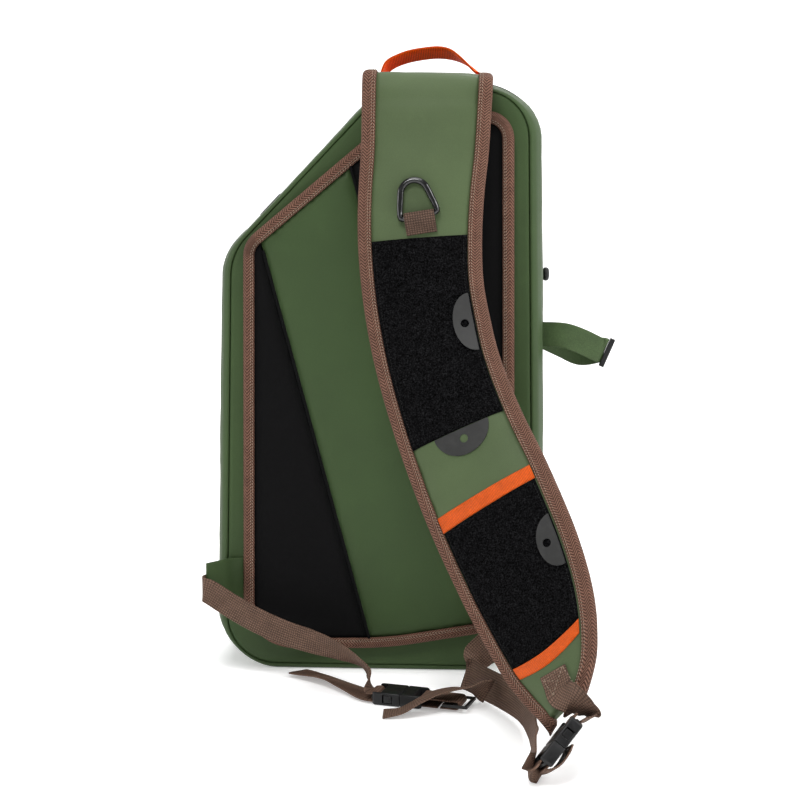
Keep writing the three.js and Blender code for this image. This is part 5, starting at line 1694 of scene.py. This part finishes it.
class BAG_OT_stage(bpy.types.Operator):
    """Pale floor, soft lights and the camera"""

    bl_idname = "bag.stage"
    bl_label = "Floor, lights and camera"

    def execute(self, context):
        scene = context.scene
        c = colours()
        bm = bmesh.new()
        bmesh.ops.create_grid(bm, x_segments=1, y_segments=60, size=SWEEP)
        for v in bm.verts:
            past = v.co.y - SWEEP_BEND
            if past > 0:
                turn = min(math.pi / 2, past / SWEEP_RADIUS)
                rise = past - turn * SWEEP_RADIUS
                v.co.y = SWEEP_BEND + SWEEP_RADIUS * math.sin(turn)
                v.co.z = SWEEP_RADIUS * (1 - math.cos(turn)) + rise
        for f in bm.faces:
            f.smooth = True
        mesh = bpy.data.meshes.new("floor")
        bm.to_mesh(mesh)
        bm.free()
        floor = bpy.data.objects.new("floor", mesh)
        scene.collection.objects.link(floor)
        pale = bpy.data.materials.new("pale floor")
        pale.use_nodes = True
        shader = pale.node_tree.nodes["Principled BSDF"]
        shader.inputs["Base Color"].default_value = (*c.floor, 1)
        shader.inputs["Roughness"].default_value = 0.9
        shader.inputs["Specular IOR Level"].default_value = 0.1
        shader.inputs["Emission Color"].default_value = (1, 1, 1, 1)
        tree = Tree(pale.node_tree)
        place = tree.parts(tree.nodes.new("ShaderNodeTexCoord").outputs["Object"])
        across = tree.maths("MULTIPLY", place[0], place[0])
        away = tree.maths("SQRT", tree.maths("MULTIPLY_ADD", place[1], place[1], across))
        tree.put(shader.inputs["Emission Strength"], tree.ranged(away, 0.4, 2.6, 0.3, 0.62))
        mesh.materials.append(pale)

        world = bpy.data.worlds.new("studio")
        scene.world = world
        world.use_nodes = True
        background = world.node_tree.nodes["Background"]
        background.inputs["Color"].default_value = (1, 1, 1, 1)
        sky = Tree(world.node_tree)
        height = sky.parts(sky.nodes.new("ShaderNodeTexCoord").outputs["Generated"])[2]
        sky.put(background.inputs["Strength"], sky.ranged(height, 0.03, 0.3, 0.85, 0.22))
        for name, place, size, power in LIGHTS:
            data = bpy.data.lights.new(name, "AREA")
            data.shape = "SQUARE"
            data.size = size
            data.energy = power
            light = bpy.data.objects.new(name, data)
            light.location = place
            aim = Vector(LIGHTS_AIM) - light.location
            light.rotation_euler = aim.to_track_quat("-Z", "Y").to_euler()
            scene.collection.objects.link(light)

        data = bpy.data.cameras.new("camera")
        data.sensor_width = CAMERA_SENSOR
        data.lens = CAMERA_LENS
        data.clip_end = 50
        camera = bpy.data.objects.new("camera", data)
        camera.location = CAMERA_PLACE
        aim = Vector(CAMERA_AIM) - camera.location
        camera.rotation_euler = aim.to_track_quat("-Z", "Y").to_euler()
        scene.collection.objects.link(camera)
        scene.camera = camera
        scene.view_settings.view_transform = "Standard"
        return {"FINISHED"}


class BAG_PT_panel(bpy.types.Panel):
    """Lists the steps that build the bag"""

    bl_idname = "BAG_PT_panel"
    bl_label = "Sling bag"
    bl_space_type = "VIEW_3D"
    bl_region_type = "UI"
    bl_category = "Sling bag"

    def draw(self, context):
        for group in (context.scene.bag_sizes, context.scene.strap_sizes, context.scene.bag_colours):
            column = self.layout.column()
            for name in group.__annotations__:
                column.prop(group, name)
        for step in STEPS:
            self.layout.operator(step.bl_idname)


STEPS = (
    BAG_OT_stage,
    BAG_OT_shell,
    BAG_OT_back_pad,
    BAG_OT_strap,
    BAG_OT_top_and_side,
    BAG_OT_webbing,
    BAG_OT_fittings,
)
GROUPS = (("bag_sizes", BagSizes), ("strap_sizes", StrapSizes), ("bag_colours", BagColours))


def register():
    for name, group in GROUPS:
        bpy.utils.register_class(group)
        setattr(bpy.types.Scene, name, bpy.props.PointerProperty(type=group))
    for step in STEPS:
        bpy.utils.register_class(step)
    bpy.utils.register_class(BAG_PT_panel)


def unregister():
    bpy.utils.unregister_class(BAG_PT_panel)
    for step in reversed(STEPS):
        bpy.utils.unregister_class(step)
    for name, group in reversed(GROUPS):
        delattr(bpy.types.Scene, name)
        bpy.utils.unregister_class(group)


def main():
    register()
    bpy.ops.bag.stage()
    bpy.ops.bag.shell()
    bpy.ops.bag.back_pad()
    bpy.ops.bag.strap()
    bpy.ops.bag.top_and_side()
    bpy.ops.bag.webbing()
    bpy.ops.bag.fittings()
    bpy.context.view_layer.update()


if __name__ == "__main__":
    main()
